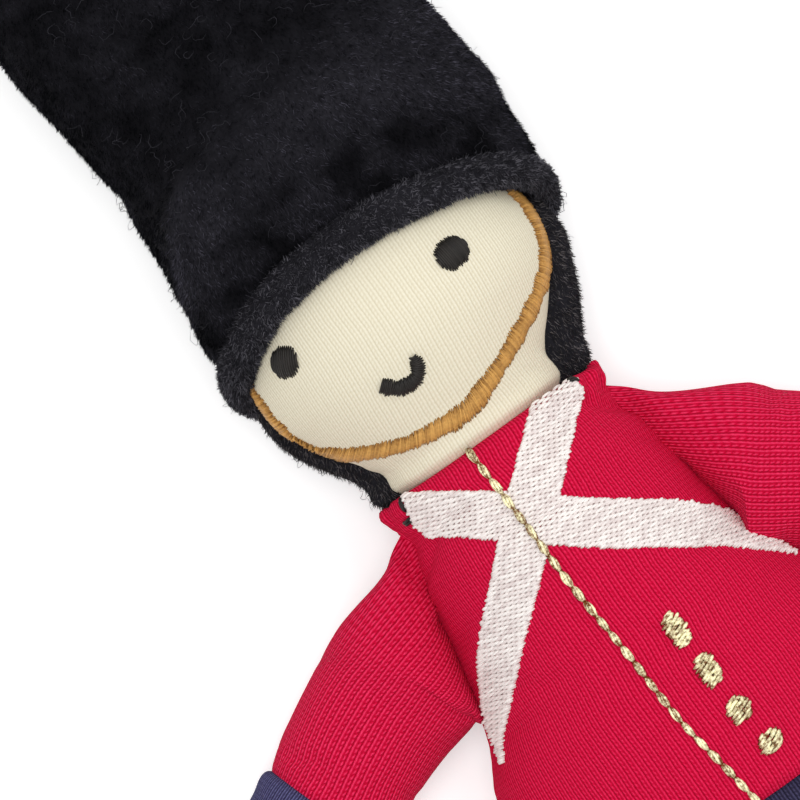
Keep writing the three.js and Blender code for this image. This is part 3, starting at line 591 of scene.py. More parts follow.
def simulated_copy(piece, is_sewn, press, spare):
    """A large copy of a bag, ready to be blown up, with its seams held."""
    copy = into_scene(piece.name + "_sim", piece.data.copy())
    copy.data.transform(Matrix.Scale(sim_scale, 4))
    sewn = [vert.index for vert in piece.data.vertices if is_sewn(vert.co / MM)]
    copy.vertex_groups.new(name="sewn").add(sewn, 1.0, "REPLACE")
    cloth = copy.modifiers.new("stuffing", "CLOTH")
    cloth.settings.vertex_group_mass = "sewn"
    cloth.settings.use_pressure = True
    cloth.settings.uniform_pressure_force = press
    cloth.settings.shrink_min = -spare
    cloth.settings.effector_weights.gravity = 0
    cloth.settings.quality = 4
    cloth.point_cache.frame_start = 1
    cloth.point_cache.frame_end = sim_frames
    return copy


def coordinates(mesh):
    flat = np.empty(len(mesh.vertices) * 3, np.float32)
    mesh.vertices.foreach_get("co", flat)
    return flat.reshape(-1, 3)


def blow_up(bags):
    """Runs the cloth simulation on copies of all bags at once and moves the real ones."""
    copies = [simulated_copy(*settings) for *settings, _ in bags]
    for frame_number in range(1, sim_frames + 1):
        scene.frame_set(frame_number)
    depsgraph = bpy.context.evaluated_depsgraph_get()
    for (piece, *_, most), copy in zip(bags, copies):
        before = coordinates(piece.data)
        move = coordinates(copy.evaluated_get(depsgraph).data) / sim_scale - before
        size = np.linalg.norm(move, axis=1, keepdims=True)
        move *= np.minimum(1, most * MM / np.maximum(size, 1e-9))
        placed = before + move
        placed[:, 2] = np.maximum(placed[:, 2], 0)
        piece.data.vertices.foreach_set("co", placed.ravel())
        piece.data.update()
        print(f"{piece.name}: moved {size.mean() / MM:.2f} mm on average, {size.max() / MM:.2f} at most")
        bpy.data.objects.remove(copy)
    scene.frame_set(1)


# %% The bags and their seams
held_head = 36


def on_side_seam(place):
    return abs(place.z - seam_z) < 0.06


def neck_or_hat_seam(place):
    return place.y < neck_y + 1.0 or place.y > neck_y + held_head


# Each bag, where it is sewn, the pressure, the spare cloth and the cap in millimetres
bags = [
    (jacket, lambda p: on_side_seam(p) or p.y > neck_y - 1.2 or p.y < hem_y + 1.0, 2.5, 0.03, 0.9),
    (trousers, lambda p: on_side_seam(p) or p.y > hem_y - 0.5 or p.y < crotch_y + 0.3, 2.5, 0.04, 1.0),
    (face, neck_or_hat_seam, 2.5, 0.02, 0.7),
    (hair, neck_or_hat_seam, 2.0, 0.03, 0.8),
    (crown, lambda p: p.y < neck_y + 20, 1.2, 0.03, 1.0),
]
for name, (sleeve, _, hand, trouser, boot) in limbs.items():
    pin = Vector(hinge[f"{name}_shoulder"]["pos_m"]) / MM
    axis = Vector(hinge[f"{name}_shoulder"]["axis"])

    def sleeve_sewn(place, pin=pin, axis=axis):
        away = place - pin
        return (away - axis * away.dot(axis)).length < 0.8 or away.length > sleeve_length - 0.5

    def hand_sewn(place, pin=pin):
        return (place - pin).length < sleeve_length + cuff_length + 0.5

    bags += [
        (sleeve, sleeve_sewn, 2.5, 0.04, 0.9),
        (hand, hand_sewn, 2.5, 0.03, 0.5),
        (trouser, lambda p: p.y > crotch_y - 0.6 or p.y < crotch_y - ankle + 1, 2.5, 0.04, 0.9),
        (boot, lambda p: p.y > crotch_y - ankle - 1, 2.5, 0.02, 0.5),
    ]
blow_up(bags)

# %% [markdown]
# Wadding also settles unevenly, in soft lumps wider than any stitch. A slow noise moves each point
# along its own normal by a few tenths of a millimetre. One subdivision then rounds the facets. At
# the neck the two corners of the jacket are drawn together by hand, so the cloth there is crumpled.

# %% Lumps and subdivision
lump_size = 14.0
# Height of the lumps in a sleeve, cuff, hand, trouser leg and boot
limb_lumps = (0.5, 0.3, 0.3, 0.4, 0.3)
drawn_corners = ((-19.2, neck_y - 1.6), (18.4, neck_y - 1.6))


def bunch(piece, drawn, reach, height, size):
    """Crumples the cloth round each corner that is drawn together by hand."""
    for vert in piece.data.vertices:
        place = vert.co / MM
        away = min(math.hypot(place.x - x, place.y - y) for x, y in drawn)
        near = smooth_step(reach, reach * 0.3, away)
        if near > 0:
            vert.co += vert.normal * noise.noise(place / size) * height * near * MM


def settle(piece, height, seed):
    """Soft lumps in the wadding, and a subdivision that stays live on the piece."""
    mesh = piece.data
    shift = Vector((seed, 2 * seed, 3 * seed))
    moves = [v.normal * noise.noise(v.co / MM / lump_size + shift) * height * MM for v in mesh.vertices]
    for vert, move in zip(mesh.vertices, moves):
        vert.co += move
        vert.co.z = max(vert.co.z, 0)
    fine = piece.modifiers.new("fine", "SUBSURF")
    fine.levels = fine.render_levels = 1


bunch(jacket, drawn_corners, 6.0, 1.3, 1.5)
lumps = [(jacket, 0.45), (trousers, 0.4), (face, 0.3), (hair, 0.4), (crown, 0.9), (brim, 0.5)]
for pieces in limbs.values():
    lumps += zip(pieces, limb_lumps)
for number, (piece, height) in enumerate(lumps):
    settle(piece, height, seed=number * 7.3)
print(f"settled {len(lumps)} pieces")

# %% [markdown]
# The crown's plush gets a tone at each point, stored as a value, and most of that tone is painted
# light and shade: painted shade in the pocket beside the ridge and towards the top, a painted shadow
# in the groove over the brim, and a painted highlight along the ridge near the side. A noise in the
# material could darken it too, but the ground and the strands on it have to agree, and a stored value
# serves them both.


# %% Nap and painted shade of the plush
def store_plush_tone(piece, tone_at):
    """Stores a tone for the plush at each point, before the pile is raised: on the crown painted shade."""
    tones = [tone_at(vert.co / MM) for vert in piece.data.vertices]
    # On the crown the stored value named nap holds painted shade and a painted highlight
    piece.data.attributes.new("nap", "FLOAT", "POINT").data.foreach_set("value", tones)
    print(f"{piece.name}: nap from {min(tones):.2f} to {max(tones):.2f}")


def crown_tone_and_painted_shade(place):
    """Light on the band over the forehead, painted shade in the pocket, the groove and the upper half."""
    if place.z < hat_seam * 0.6:
        return 0.6
    # The upper edge of the brim runs lower towards the sides, and the painted shadow in the groove over it
    # is uneven
    low_edge = neck_y + brim_front + brim_height - 1.5 - 0.012 * (place.x - 2) ** 2
    groove_shadow = smooth_step(low_edge + 13.5, low_edge + 6.5, place.y)
    groove_shadow *= min(1.2, max(0.3, 0.85 + 1.5 * noise.noise(place / 6)))
    # Painted shade towards the top of the crown, more so on the doll's right
    upper = smooth_step(84, 100, place.y - 0.15 * place.x)
    # Beyond the ridge lies the pocket in painted shade, and the ridge near the side gets a painted
    # highlight
    beyond = place.y - float(np.interp(place.x, ridge[:, 0], ridge[:, 1]))
    pocket_shade = smooth_step(-0.4, 1.2, beyond) * smooth_step(4.0, -14.0, place.x)
    crest = 0.3 * math.exp(-((beyond + 0.9) / 1.3) ** 2) * smooth_step(-12.0, -19.0, place.x)
    patches = 0.3 * noise.noise(place / 9) + 0.3 * noise.noise(place / 3.2)
    patches += 0.2 * noise.noise(place / 1.6)
    # A plain tone less the painted shade and shadow, plus the painted highlight and random patches
    return float(max(0.02, 0.9 - 0.8 * groove_shadow - 0.66 * max(upper, pocket_shade) + crest + patches))


store_plush_tone(crown, crown_tone_and_painted_shade)
store_plush_tone(brim, lambda place: 0.85 + 0.35 * noise.noise(place / 4) + 0.25 * noise.noise(place / 1.6))
store_plush_tone(hair, lambda place: 0.75 + 0.3 * noise.noise(place / 4))

# %% [markdown]
# ## Finishes
# A finish is a few nodes that do sums. A small class lets such a sum be written as on paper, and
# each sign in it becomes one Math node. What several finishes share goes into a node group, which is
# built once and placed in each material with its own values.


# %% Node helpers
def linear(red, green, blue):
    """A colour as seen on screen, 0 to 255, as the linear values that shaders use."""
    values = []
    for channel in (red, green, blue):
        c = channel / 255
        values.append(c / 12.92 if c <= 0.04045 else ((c + 0.055) / 1.055) ** 2.4)
    return (*values, 1.0)


def feed(tree, socket, value):
    """Joins a Value or another socket to an input, or sets a plain value on it."""
    value = value.socket if isinstance(value, Value) else value
    if isinstance(value, bpy.types.NodeSocket):
        tree.links.new(value, socket)
    else:
        socket.default_value = value


def place_node(tree, kind, inputs=None, **settings):
    """A node with its settings and with what goes into it."""
    made = tree.nodes.new(kind)
    for key, value in settings.items():
        setattr(made, key, value)
    for key, value in (inputs or {}).items():
        feed(tree, made.inputs[key], value)
    return made


def calc(tree, operation, *values):
    """The result of a Math node."""
    made = place_node(tree, "ShaderNodeMath", dict(enumerate(values)), operation=operation)
    return Value(tree, made.outputs[0])


class Value:
    """A number in a node tree. Every sum made with it adds a Math node."""

    def __init__(self, tree, socket):
        self.tree = tree
        self.socket = socket

    def math(self, operation, *others):
        return calc(self.tree, operation, self, *others)

    def __add__(self, other):
        return self.math("ADD", other)

    def __sub__(self, other):
        return self.math("SUBTRACT", other)

    def __rsub__(self, other):
        return calc(self.tree, "SUBTRACT", other, self)

    def __mul__(self, other):
        return self.math("MULTIPLY", other)

    def __truediv__(self, other):
        return self.math("DIVIDE", other)


def stretched(tree, value, low, high, to_low=0.0, to_high=1.0):
    """The result of a Map Range node."""
    inputs = {0: value, 1: low, 2: high, 3: to_low, 4: to_high}
    return place_node(tree, "ShaderNodeMapRange", inputs).outputs[0]


def speckle(tree, scale, detail, place=None):
    """The result of a Noise node, in the piece's own space unless it gets another place."""
    if place is None:
        place = place_node(tree, "ShaderNodeTexCoord").outputs["Object"]
    made = place_node(tree, "ShaderNodeTexNoise", {"Vector": place, "Scale": scale, "Detail": detail})
    return Value(tree, made.outputs[0])


def stored(tree, name):
    """A value that the mesh stores at each point."""
    return Value(tree, place_node(tree, "ShaderNodeAttribute", attribute_name=name).outputs["Fac"])


def blend_colour(tree, factor, first, second):
    mix = place_node(tree, "ShaderNodeMix", {0: factor, 6: first, 7: second}, data_type="RGBA")
    return mix.outputs[2]


def bump(tree, height, relief, strength=1.0):
    """A normal for a height from 0 to 1, where 1 is the relief in millimetres."""
    return place_node(tree, "ShaderNodeBump", {
        "Height": height, "Strength": strength, "Distance": relief * MM}).outputs[0]


def new_group(name, kind, given, made):
    """An empty node group, and its inputs and outputs by name."""
    tree = bpy.data.node_groups.new(name, kind)
    for direction, sockets in (("INPUT", given), ("OUTPUT", made)):
        for label, socket_kind in sockets.items():
            tree.interface.new_socket(label, in_out=direction, socket_type="NodeSocket" + socket_kind)
    inside = tree.nodes.new("NodeGroupInput").outputs
    return tree, inside, tree.nodes.new("NodeGroupOutput").inputs


def new_material(name):
    material = bpy.data.materials.new(name)
    material.use_nodes = True
    return material, material.node_tree


def finished(material, inputs):
    """The material, with inputs of its own shader joined or set."""
    tree = material.node_tree
    for label, value in inputs.items():
        feed(tree, tree.nodes["Principled BSDF"].inputs[label], value)
    return material


# %% [markdown]
# The knit is a shader group that reads the flat coordinates of the cloth: columns of stitches run
# along it, and each column is two legs that lean towards each other. A picture of knitted cloth would
# repeat, and blur from near by, which a sum never does. The same group serves the red jersey, the
# cream face and the navy ribs, each with its own stitch size and colours.


# %% The knit group
def make_knit():
    """Colour and height of knitted cloth, with painted shade in its grooves. Wale and Course are the size
    of a stitch in millimetres.
    """
    colours = {"Dark": "Color", "Middle": "Color", "Light": "Color"}
    tree, inside, outside = new_group(
        "knit", "ShaderNodeTree", {"Wale": "Float", "Course": "Float", "Lean": "Float", **colours},
        {"Color": "Color", "Height": "Float"})
    flat = place_node(tree, "ShaderNodeUVMap", uv_map="cloth").outputs[0]
    wander = speckle(tree, 0.16, 2.0, flat)
    fuzz = speckle(tree, 2.6, 3.0, flat)
    across, along = place_node(tree, "ShaderNodeSeparateXYZ", {0: flat}).outputs[:2]
    # Columns that drift a little, and in each a leg on both sides of a groove
    drift = (wander - 0.5) * 0.4
    rough_edge = (fuzz - 0.5) * 0.5
    column = Value(tree, across) / inside["Wale"] + drift + rough_edge * 0.35
    cell = column.math("FRACT")
    out = (cell - 0.5).math("ABSOLUTE") * 2.0
    leg = 1.0 - (out * 2.0 - 1.0).math("ABSOLUTE")
    inner_groove = out.math("LESS_THAN", 0.5) * 0.34
    leg = leg.math("POWER", 0.7).math("MAXIMUM", inner_groove)
    # Loops along each leg, which lean towards the column's middle and are deeper on one side
    run = Value(tree, along) / inside["Course"] + out * 0.5
    loop = ((run + rough_edge).math("FRACT") * math.pi).math("SINE")
    depth = cell.math("GREATER_THAN", 0.5) * inside["Lean"] + 0.2
    height = leg * (1.0 - depth + depth * loop)
    # The colour follows the height: painted shade in the grooves, painted highlight on the legs
    shade = height + rough_edge * 0.5
    colour = blend_colour(tree, stretched(tree, shade, 0.05, 0.5), inside["Dark"], inside["Middle"])
    colour = blend_colour(tree, stretched(tree, shade, 0.5, 1.05), colour, inside["Light"])
    feed(tree, outside["Color"], colour)
    feed(tree, outside["Height"], height)
    return tree


knit = make_knit()
print(f"knit group: {len(knit.nodes)} nodes")


# %% Knitted finishes
def jersey(name, dark, middle, light, wale, course, lean, relief, sheen):
    """Knitted cotton: stitch columns every wale, stitches every course, in millimetres."""
    material, tree = new_material(name)
    stitches = place_node(tree, "ShaderNodeGroup", {
        "Wale": wale, "Course": course, "Lean": lean, "Dark": linear(*dark),
        "Middle": linear(*middle), "Light": linear(*light)}, node_tree=knit).outputs
    return finished(material, {
        "Base Color": stitches["Color"], "Normal": bump(tree, stitches["Height"], relief),
        "Roughness": 0.9, "Specular IOR Level": 0.08,
        "Sheen Weight": sheen, "Sheen Roughness": 0.4, "Sheen Tint": linear(*light)})


# Dark, middle and light colour (painted shade, own colour, painted highlight), size of a stitch across and
# along, lean, relief and sheen
red_body = jersey(
    "red jersey, fine", (154, 0, 26), (203, 7, 56), (237, 44, 91), 1.09, 0.8, 0.3, 0.2, 0.08)
red_sleeve = jersey(
    "red jersey, sleeve", (160, 0, 26), (210, 10, 60), (250, 62, 108), 1.13, 0.9, 0.5, 0.26, 0.12)
cream_knit = jersey(
    "cream jersey", (210, 200, 173), (226, 218, 194), (236, 230, 211), 1.1, 0.7, 0.3, 0.08, 0.02)
navy_knit = jersey(
    "navy jersey", (24, 24, 42), (47, 43, 66), (74, 72, 104), 1.1, 0.7, 0.3, 0.2, 0.05)
cuff_knit = jersey(
    "navy rib", (36, 35, 64), (68, 63, 100), (112, 112, 158), 1.0, 0.8, 0.2, 0.34, 0.08)
boot_felt = jersey(
    "black jersey", (10, 10, 12), (20, 20, 23), (38, 38, 42), 1.0, 0.5, 0.4, 0.14, 0.05)
print("knits:", [m.name for m in (red_body, red_sleeve, cream_knit, navy_knit, cuff_knit, boot_felt)])

# %% [markdown]
# Thread is smoother than the cloth. Each stitch stores a tint of its own, with painted shade where it
# dives into the cloth, and a fine noise stands for its fibres. Gold yarn is a metal foil on a core, and
# its noise is strong: the bright places are painted glints of the foil and the deep brown ones painted
# shade. Pile is a tint for each strand over a rough, much darker ground.


# %% Thread, gold and plush finishes
def make_thread_tone():
    """Colour and height of thread: the tint of its stitch with its painted shade, made uneven by fine
    fibres.
    """
    tree, inside, outside = new_group(
        "thread tone", "ShaderNodeTree",
        {"Dark": "Color", "Light": "Color", "Gap": "Float", "Speckle": "Float"},
        {"Color": "Color", "Height": "Float"})
    # A fine noise for the fibres, which in the gold's strong speckle also stands for painted glints
    fibres = speckle(tree, 2.2 / MM, 2.0)
    tone = stored(tree, "tint") + (fibres - 0.5) * inside["Speckle"]
    # Below the gap the thread takes its dark colour, which deepens the painted shade where it dives
    tone = stretched(tree, tone, inside["Gap"], 0.95)
    feed(tree, outside["Color"], blend_colour(tree, tone, inside["Dark"], inside["Light"]))
    feed(tree, outside["Height"], fibres)
    return tree


thread_tone = make_thread_tone()


def thread(name, dark, light, roughness, metallic=0.0, gap=0.0, speckle_strength=0.7):
    """Thread: each stitch has its own tone, with painted shade where it dives into the cloth."""
    material, tree = new_material(name)
    tone = place_node(tree, "ShaderNodeGroup", {
        "Dark": linear(*dark), "Light": linear(*light), "Gap": gap,
        "Speckle": speckle_strength}, node_tree=thread_tone).outputs
    return finished(material, {
        "Base Color": tone["Color"], "Normal": bump(tree, tone["Height"], 0.08, 0.6),
        "Roughness": roughness, "Metallic": metallic, "Specular IOR Level": 0.25})


def plush(name, dark, light):
    """Pile: each strand has its own tint, stored when the strands were scattered, with painted shade in
    it.
    """
    material, tree = new_material(name)
    colour = blend_colour(tree, stored(tree, "tint"), linear(*dark), linear(*light))
    return finished(material, {"Base Color": colour, "Roughness": 0.9, "Specular IOR Level": 0.04})


def backing(name, red, green, blue):
    """The woven ground under the pile, rough, and darker where the stored nap value is low, which on the
    crown is painted shade.
    """
    material, tree = new_material(name)
    weave = speckle(tree, 1.6 / MM, 4.0)
    light = linear(red, green, blue)
    dark = tuple(c * 0.15 for c in light[:3]) + (1.0,)
    return finished(material, {
        "Base Color": blend_colour(tree, stored(tree, "nap") * weave, dark, light),
        "Normal": bump(tree, weave, 0.3), "Roughness": 0.95, "Specular IOR Level": 0.03})


white_thread = thread("white thread", (200, 180, 178), (246, 240, 236), 0.55)
tan_thread = thread("tan thread", (104, 60, 14), (211, 160, 86), 0.5)
ink_thread = thread("black thread", (12, 11, 10), (37, 33, 30), 0.5)
# The gold's near-white light colour and strong speckle are painted glints of its foil, and its deep brown
# is painted shade
gold_thread = thread(
    "gold thread", (112, 62, 12), (255, 249, 203), 0.33, metallic=0.15, gap=0.3, speckle_strength=1.8)
hat_plush = plush("hat plush", (7, 8, 10), (80, 78, 89))
brim_plush = plush("brim plush", (22, 22, 25), (108, 106, 114))
hair_plush = plush("head plush", (20, 19, 20), (126, 121, 123))
plush_ground = backing("plush ground", 48, 47, 53)
stray_fibre = thread("stray fibre", (14, 14, 18), (49, 48, 55), 0.9)

finishes = [
    (jacket, red_body), (trousers, navy_knit), (face, cream_knit),
    (hair, plush_ground), (crown, plush_ground), (brim, plush_ground),
]
for pieces in limbs.values():
    finishes += zip(pieces, (red_sleeve, cuff_knit, cream_knit, navy_knit, boot_felt))
for piece, finish in finishes:
    piece.data.materials.append(finish)
print(f"{len(bpy.data.materials)} materials, {len(finishes)} pieces of cloth finished")

# %% [markdown]
# ## Embroidery
# A bump in the red cloth could pass for embroidery from far off, but real thread stands up from the
# cloth, hides its knit and has a ragged edge. So each stitch is a short tube of thread that dives into
# the cloth at both ends. Its points are dropped onto the stuffed cloth from above, so it follows every
# lump. All the stitches of one patch are splines of one curve, turned into a mesh.

# %% Stitches on the cloth
random.seed(8)
# A thread is this wide where it dives into the cloth, and this much wider in its middle
dive_width, full_swell = 0.55, 0.45
# Higher over the table than any cloth
above_all = 90


def jitter(amount):
    return random.uniform(-amount, amount)


def surface_of(piece):
    """A function that finds the cloth below a point in plan, and the way it faces.

    Beside the edge, where there is no cloth, it looks a little further inwards.
    """
    tree = BVHTree.FromObject(piece, bpy.context.evaluated_depsgraph_get())
    middle = sum((Vector(corner) for corner in piece.bound_box), Vector()) / 8 / MM

    def under(x, y):
        inward = (Vector((middle.x, middle.y)) - Vector((x, y))).normalized()
        for step in (0, 0.2, 0.4, 0.8, 1.2, 1.8, 2.6):
            start = Vector((x + inward.x * step, y + inward.y * step, above_all)) * MM
            hit, normal, _, _ = tree.ray_cast(start, Vector((0, 0, -1)))
            if hit is not None:
                return hit / MM, normal if normal.z > 0 else -normal
        return None

    return under


def stitch(under, start, end, high=0.3, deep=0.2, points=5):
    """Points of one stitch between two places in plan, with a thickness for each."""
    path = []
    for i in range(points):
        t = i / (points - 1)
        found = under(start[0] + (end[0] - start[0]) * t, start[1] + (end[1] - start[1]) * t)
        if found is None:
            return []
        place, normal = found
        arch = math.sin(math.pi * t) ** 0.45 if 0 < t < 1 else 0
        lift = high * arch - deep * (1 - arch)
        path.append((place + normal * lift, dive_width + full_swell * arch))
    return path


# %% Sewing a patch
def baked_mesh(piece, name, finish):
    """The mesh that an object's curve or modifiers make, with one finish. The object goes."""
    bpy.context.view_layer.update()
    mesh = bpy.data.meshes.new_from_object(piece.evaluated_get(bpy.context.evaluated_depsgraph_get()))
    bpy.data.objects.remove(piece)
    mesh.name = name
    mesh.materials.clear()
    mesh.materials.append(finish)
    return mesh


def close_ends(mesh):
    bm = bmesh.new()
    bm.from_mesh(mesh)
    bmesh.ops.holes_fill(bm, edges=[edge for edge in bm.edges if edge.is_boundary], sides=0)
    bm.to_mesh(mesh)
    bm.free()


def sew_patch(name, stitches, radius, finish, sides=1):
    """One mesh from many stitches, where each stitch stores a tint of its own with painted shade at its
    ends.
    """
    curve = bpy.data.curves.new(name, "CURVE")
    curve.dimensions = "3D"
    curve.bevel_depth = radius * MM
    curve.bevel_resolution = sides
    stitches = [path for path in stitches if len(path) > 1]
    for path in stitches:
        spline = curve.splines.new("POLY")
        spline.points.add(len(path) - 1)
        for point, (place, width) in zip(spline.points, path):
            point.co = (*(place * MM), 1)
            point.radius = width
    mesh = baked_mesh(into_scene(name, curve), name, finish)
    close_ends(mesh)
    mesh.shade_smooth()
    around = 4 + 2 * sides
    tones = []
    # Each tint is half the stitch's random tone and half painted light and shade: none where it dives into
    # the cloth, full on its arch
    for path in stitches:
        tone = random.random()
        for _, width in path:
            tones += [tone * 0.5 + max(0, width - dive_width) / full_swell * 0.5] * around
    assert len(tones) == len(mesh.vertices)
    mesh.attributes.new("tint", "FLOAT", "POINT").data.foreach_set("value", tones)
    print(f"{name}: {len(stitches)} stitches, {len(mesh.polygons)} faces")
    return into_scene(name, mesh)


on_jacket = surface_of(jacket)
on_face = surface_of(face)

# %% [markdown]
# The belts are two tapering bands that cross. Filled one after the other they would pile up at the
# crossing, so they are one patch, with rows of short stitches across the doll. Each row is shifted by
# part of a stitch against the one above, as an embroidery machine lays them, and its ends are a
# little ragged.


# %% Outlines of the belts
outline_steps = 60


def from_neck(line):
    """Places on the doll for points whose second number is the height over the neck seam."""
    return [(x, neck_y + up, *more) for x, up, *more in line]


def outline_of(line):
    """The edge of a tapering band along a smooth line: down its left side and back up its right."""
    line = np.array(line)
    away = run_lengths(line[:, :2])
    at = np.linspace(0, away[-1], outline_steps)
    x, y, half = smooth_through(away, line, at).T
    middle = np.stack([x, y], axis=1)
    heading = np.gradient(middle, axis=0)
    heading /= np.linalg.norm(heading, axis=1)[:, None]
    side = np.stack([-heading[:, 1], heading[:, 0]], axis=1) * half[:, None]
    return np.concatenate([middle + side, (middle - side)[::-1]])


def chords(outline, y):
    """Where a line across the doll enters and leaves an outline."""
    crossings = []
    for a, b in zip(outline, np.roll(outline, -1, axis=0)):
        if (a[1] > y) != (b[1] > y):
            crossings.append(a[0] + (b[0] - a[0]) * (y - a[1]) / (b[1] - a[1]))
    crossings.sort()
    return list(zip(crossings[::2], crossings[1::2]))


# Across the doll, over the neck seam, and half the width of the belt
crossing = -13.7
right_belt = from_neck([
    (-19.0, -2.2, 3.5), (-11.8, -6.4, 3.45), (-2.2, crossing, 3.7), (6.6, -20.8, 3.65),
    (16.0, -27.6, 3.4), (22.2, -33.2, 2.5), (25.8, -38.4, 1.0), (27.9, -41.4, 0.2),
])
left_belt = from_neck([
    (15.6, 1.6, 3.5), (6.4, -6.2, 3.65), (-2.2, crossing, 3.75), (-9.4, -20.4, 3.6),
    (-17.6, -28.2, 3.2), (-22.8, -34.8, 2.0), (-24.6, -37.4, 1.3), (-25.7, -40.1, 0.6),
    (-26.8, -42.4, 0.15),
])
belt_outlines = [outline_of(right_belt), outline_of(left_belt)]
belt_top, belt_bottom = neck_y - 0.55, neck_y - 42.3
# Above the crossing the belts end at the side seams
right_end = from_neck([(-16.5, -6.6), (-17.0, -5.3), (-16.6, -3.4), (-15.9, 0)])
left_end_x = 15.7

# %% Rows of the belts
row_pitch = 0.29
stitch_length = 1.9
shortest_stitch = 0.6
stitch_overlap = 0.06
ragged_edge = 0.22
one_span = 0.2


def belt_spans(y):
    """From where to where each band runs at a height, with bands that touch as one."""
    merged = []
    for start, end in sorted(span for outline in belt_outlines for span in chords(outline, y)):
        if merged and start < merged[-1][1] + one_span:
            merged[-1][1] = max(end, merged[-1][1])
        else:
            merged.append([start, end])
    return merged


def belt_row(number):
    """The stitches of one row, staggered against the row above."""
    y = belt_top - number * row_pitch
    stitches = []
    for start, end in belt_spans(y):
        if y > neck_y + crossing:
            edge = float(np.interp(y, [at for _, at in right_end], [x for x, _ in right_end]))
            start, end = max(start, edge), min(end, left_end_x)
        start, end = start + jitter(ragged_edge), end + jitter(ragged_edge)
        cuts = [start]
        phase = (number * 2 % 5) * 0.2 * stitch_length
        place = math.floor(start / stitch_length) * stitch_length + phase
        while place < end - shortest_stitch:
            if place > start + shortest_stitch:
                cuts.append(place + jitter(0.1))
            place += stitch_length
        cuts.append(end)
        for a, b in zip(cuts[:-1], cuts[1:]):
            tilt = jitter(0.05)
            ends = (a - stitch_overlap, y + tilt), (b + stitch_overlap, y - tilt)
            stitches.append(stitch(on_jacket, *ends, deep=0.1))
    return stitches


belt_rows = []
for number in range(int((belt_top - belt_bottom) / row_pitch)):
    belt_rows += belt_row(number)
belts = sew_patch("cross_belts", belt_rows, 0.24, white_thread)
on_belts = surface_of(belts)

# %% [markdown]
# The gold line is a chain of twisted links that lies over the belts, and each button is a small oval
# filled with the same yarn. One twisted cord would be simpler, but a chain stitch is thin where each
# link ends. So each link is five thin yarns that swell in their middle and twist round each other.

# %% Gold chain
placket = from_neck([(-3.8, -0.1), (-3.15, -12), (-2.8, -24), (-1.8, -38), (-1.15, -50), (0.35, -60)])
placket = np.array(placket + [(1.6, hem_y - 0.3)])
placket_away = run_lengths(placket)
link_length = 2.85
link_half = 0.39
link_lift = 0.34
link_points = 9
belt_thickness = 1.2
plies = 5


def under_gold(x, y):
    """The belts where there are any, and otherwise the jacket."""
    cloth = on_jacket(x, y)
    over = on_belts(x, y)
    if over is None or cloth is None or (over[0] - cloth[0]).length > belt_thickness:
        return cloth
    return over[0], cloth[1]


def link_ply(spots, wide, share, swing):
    """One yarn of a link: all of them are thin at its ends and twist round its middle."""
    path = []
    for step, (x, y) in enumerate(spots):
        t = step / (len(spots) - 1)
        swell = math.sin(math.pi * t) ** 0.75 if 0 < t < 1 else 0.1
        turn = 2 * math.pi * (0.25 + share + 0.3 * (t - 0.5)) + swing
        place, normal = under_gold(x, y)
        across = wide * swell * math.cos(turn)
        lift = link_lift + wide * swell * 0.8 * math.sin(turn) - 0.25 * (1 - swell)
        path.append((place + Vector((across, 0, 0)) + normal * lift, dive_width + full_swell * swell))
    return path


chain = []
for number in range(int(placket_away[-1] / link_length)):
    start = number * link_length
    at = np.linspace(start - 0.15, start + link_length * 1.02, link_points)
    spots = smooth_through(placket_away, placket, np.clip(at, 0, placket_away[-1]))
    swing = jitter(0.3)
    wide = link_half * (1 + jitter(0.15))
    chain += [link_ply(spots, wide, ply / plies, swing) for ply in range(plies)]
gold_chain = sew_patch("gold_chain", chain, 0.235, gold_thread)

# %% Gold buttons
# Across the doll, down from the neck seam, half width and half height
button_sizes = [
    (6.2, 39.7, 1.35, 2.6), (6.6, 47.2, 1.45, 2.4), (7.0, 54.5, 1.6, 1.9), (8.0, 61.1, 1.8, 1.5),
]
button_pitch = 0.32
shortest_gold = 0.35


def button_rows(x, down, half_width, half_height):
    """Rows of an oval, each of two stitches that meet near its middle."""
    rows = []
    for row in range(-int(half_height / button_pitch), int(half_height / button_pitch) + 1):
        offset = row * button_pitch
        half = half_width * math.sqrt(max(0, 1 - (offset / (half_height + 0.3)) ** 2)) + 0.12
        y = neck_y - down + offset
        lift = 0.45 * (1 - (offset / half_height) ** 2)
        break_at = jitter(0.4) + (0.5 if row % 2 else -0.4)
        cuts = [-half + jitter(0.35), break_at, half + jitter(0.35)]
        for a, b in zip(cuts[:-1], cuts[1:]):
            if b - a > shortest_gold:
                slope = 0.16 * (b - a) + jitter(0.2)
                ends = (x + a - 0.1, y - slope), (x + b + 0.1, y + slope)
                rows.append(stitch(on_jacket, *ends, high=0.42 + lift, deep=0.1))
    return rows


buttons = []
for number, place_and_size in enumerate(button_sizes):
    rows = button_rows(*place_and_size)
    buttons.append(sew_patch(f"gold_button_{number + 1}", rows, 0.28, gold_thread))

# %% [markdown]
# The face is satin stitch: threads side by side, each from edge to edge of the shape, with ragged
# ends. A flat black shape would be quicker and look printed. The chin strap's threads lie across it
# at a slant.

# %% Eyes
satin_pitch = 0.3


def satin_oval(x, y, half_width, half_height, lean):
    """Threads along the lean of an oval."""
    turn = math.radians(lean)
    stitches = []
    count = int(half_width / satin_pitch)
    for row in range(-count, count + 1):
        offset = row * satin_pitch
        half = half_height * (1 - abs(offset / (half_width + 0.12)) ** 3) ** 0.5
        ends = []
        for end in (-half + jitter(0.16), half + jitter(0.16)):
            ends.append((x + offset * math.cos(turn) - end * math.sin(turn),
                         y + offset * math.sin(turn) + end * math.cos(turn)))
        lift = 0.35 + 0.3 * (1 - (offset / half_width) ** 2)
        stitches.append(stitch(on_face, *ends, high=lift, deep=0.15, points=7))
    return stitches


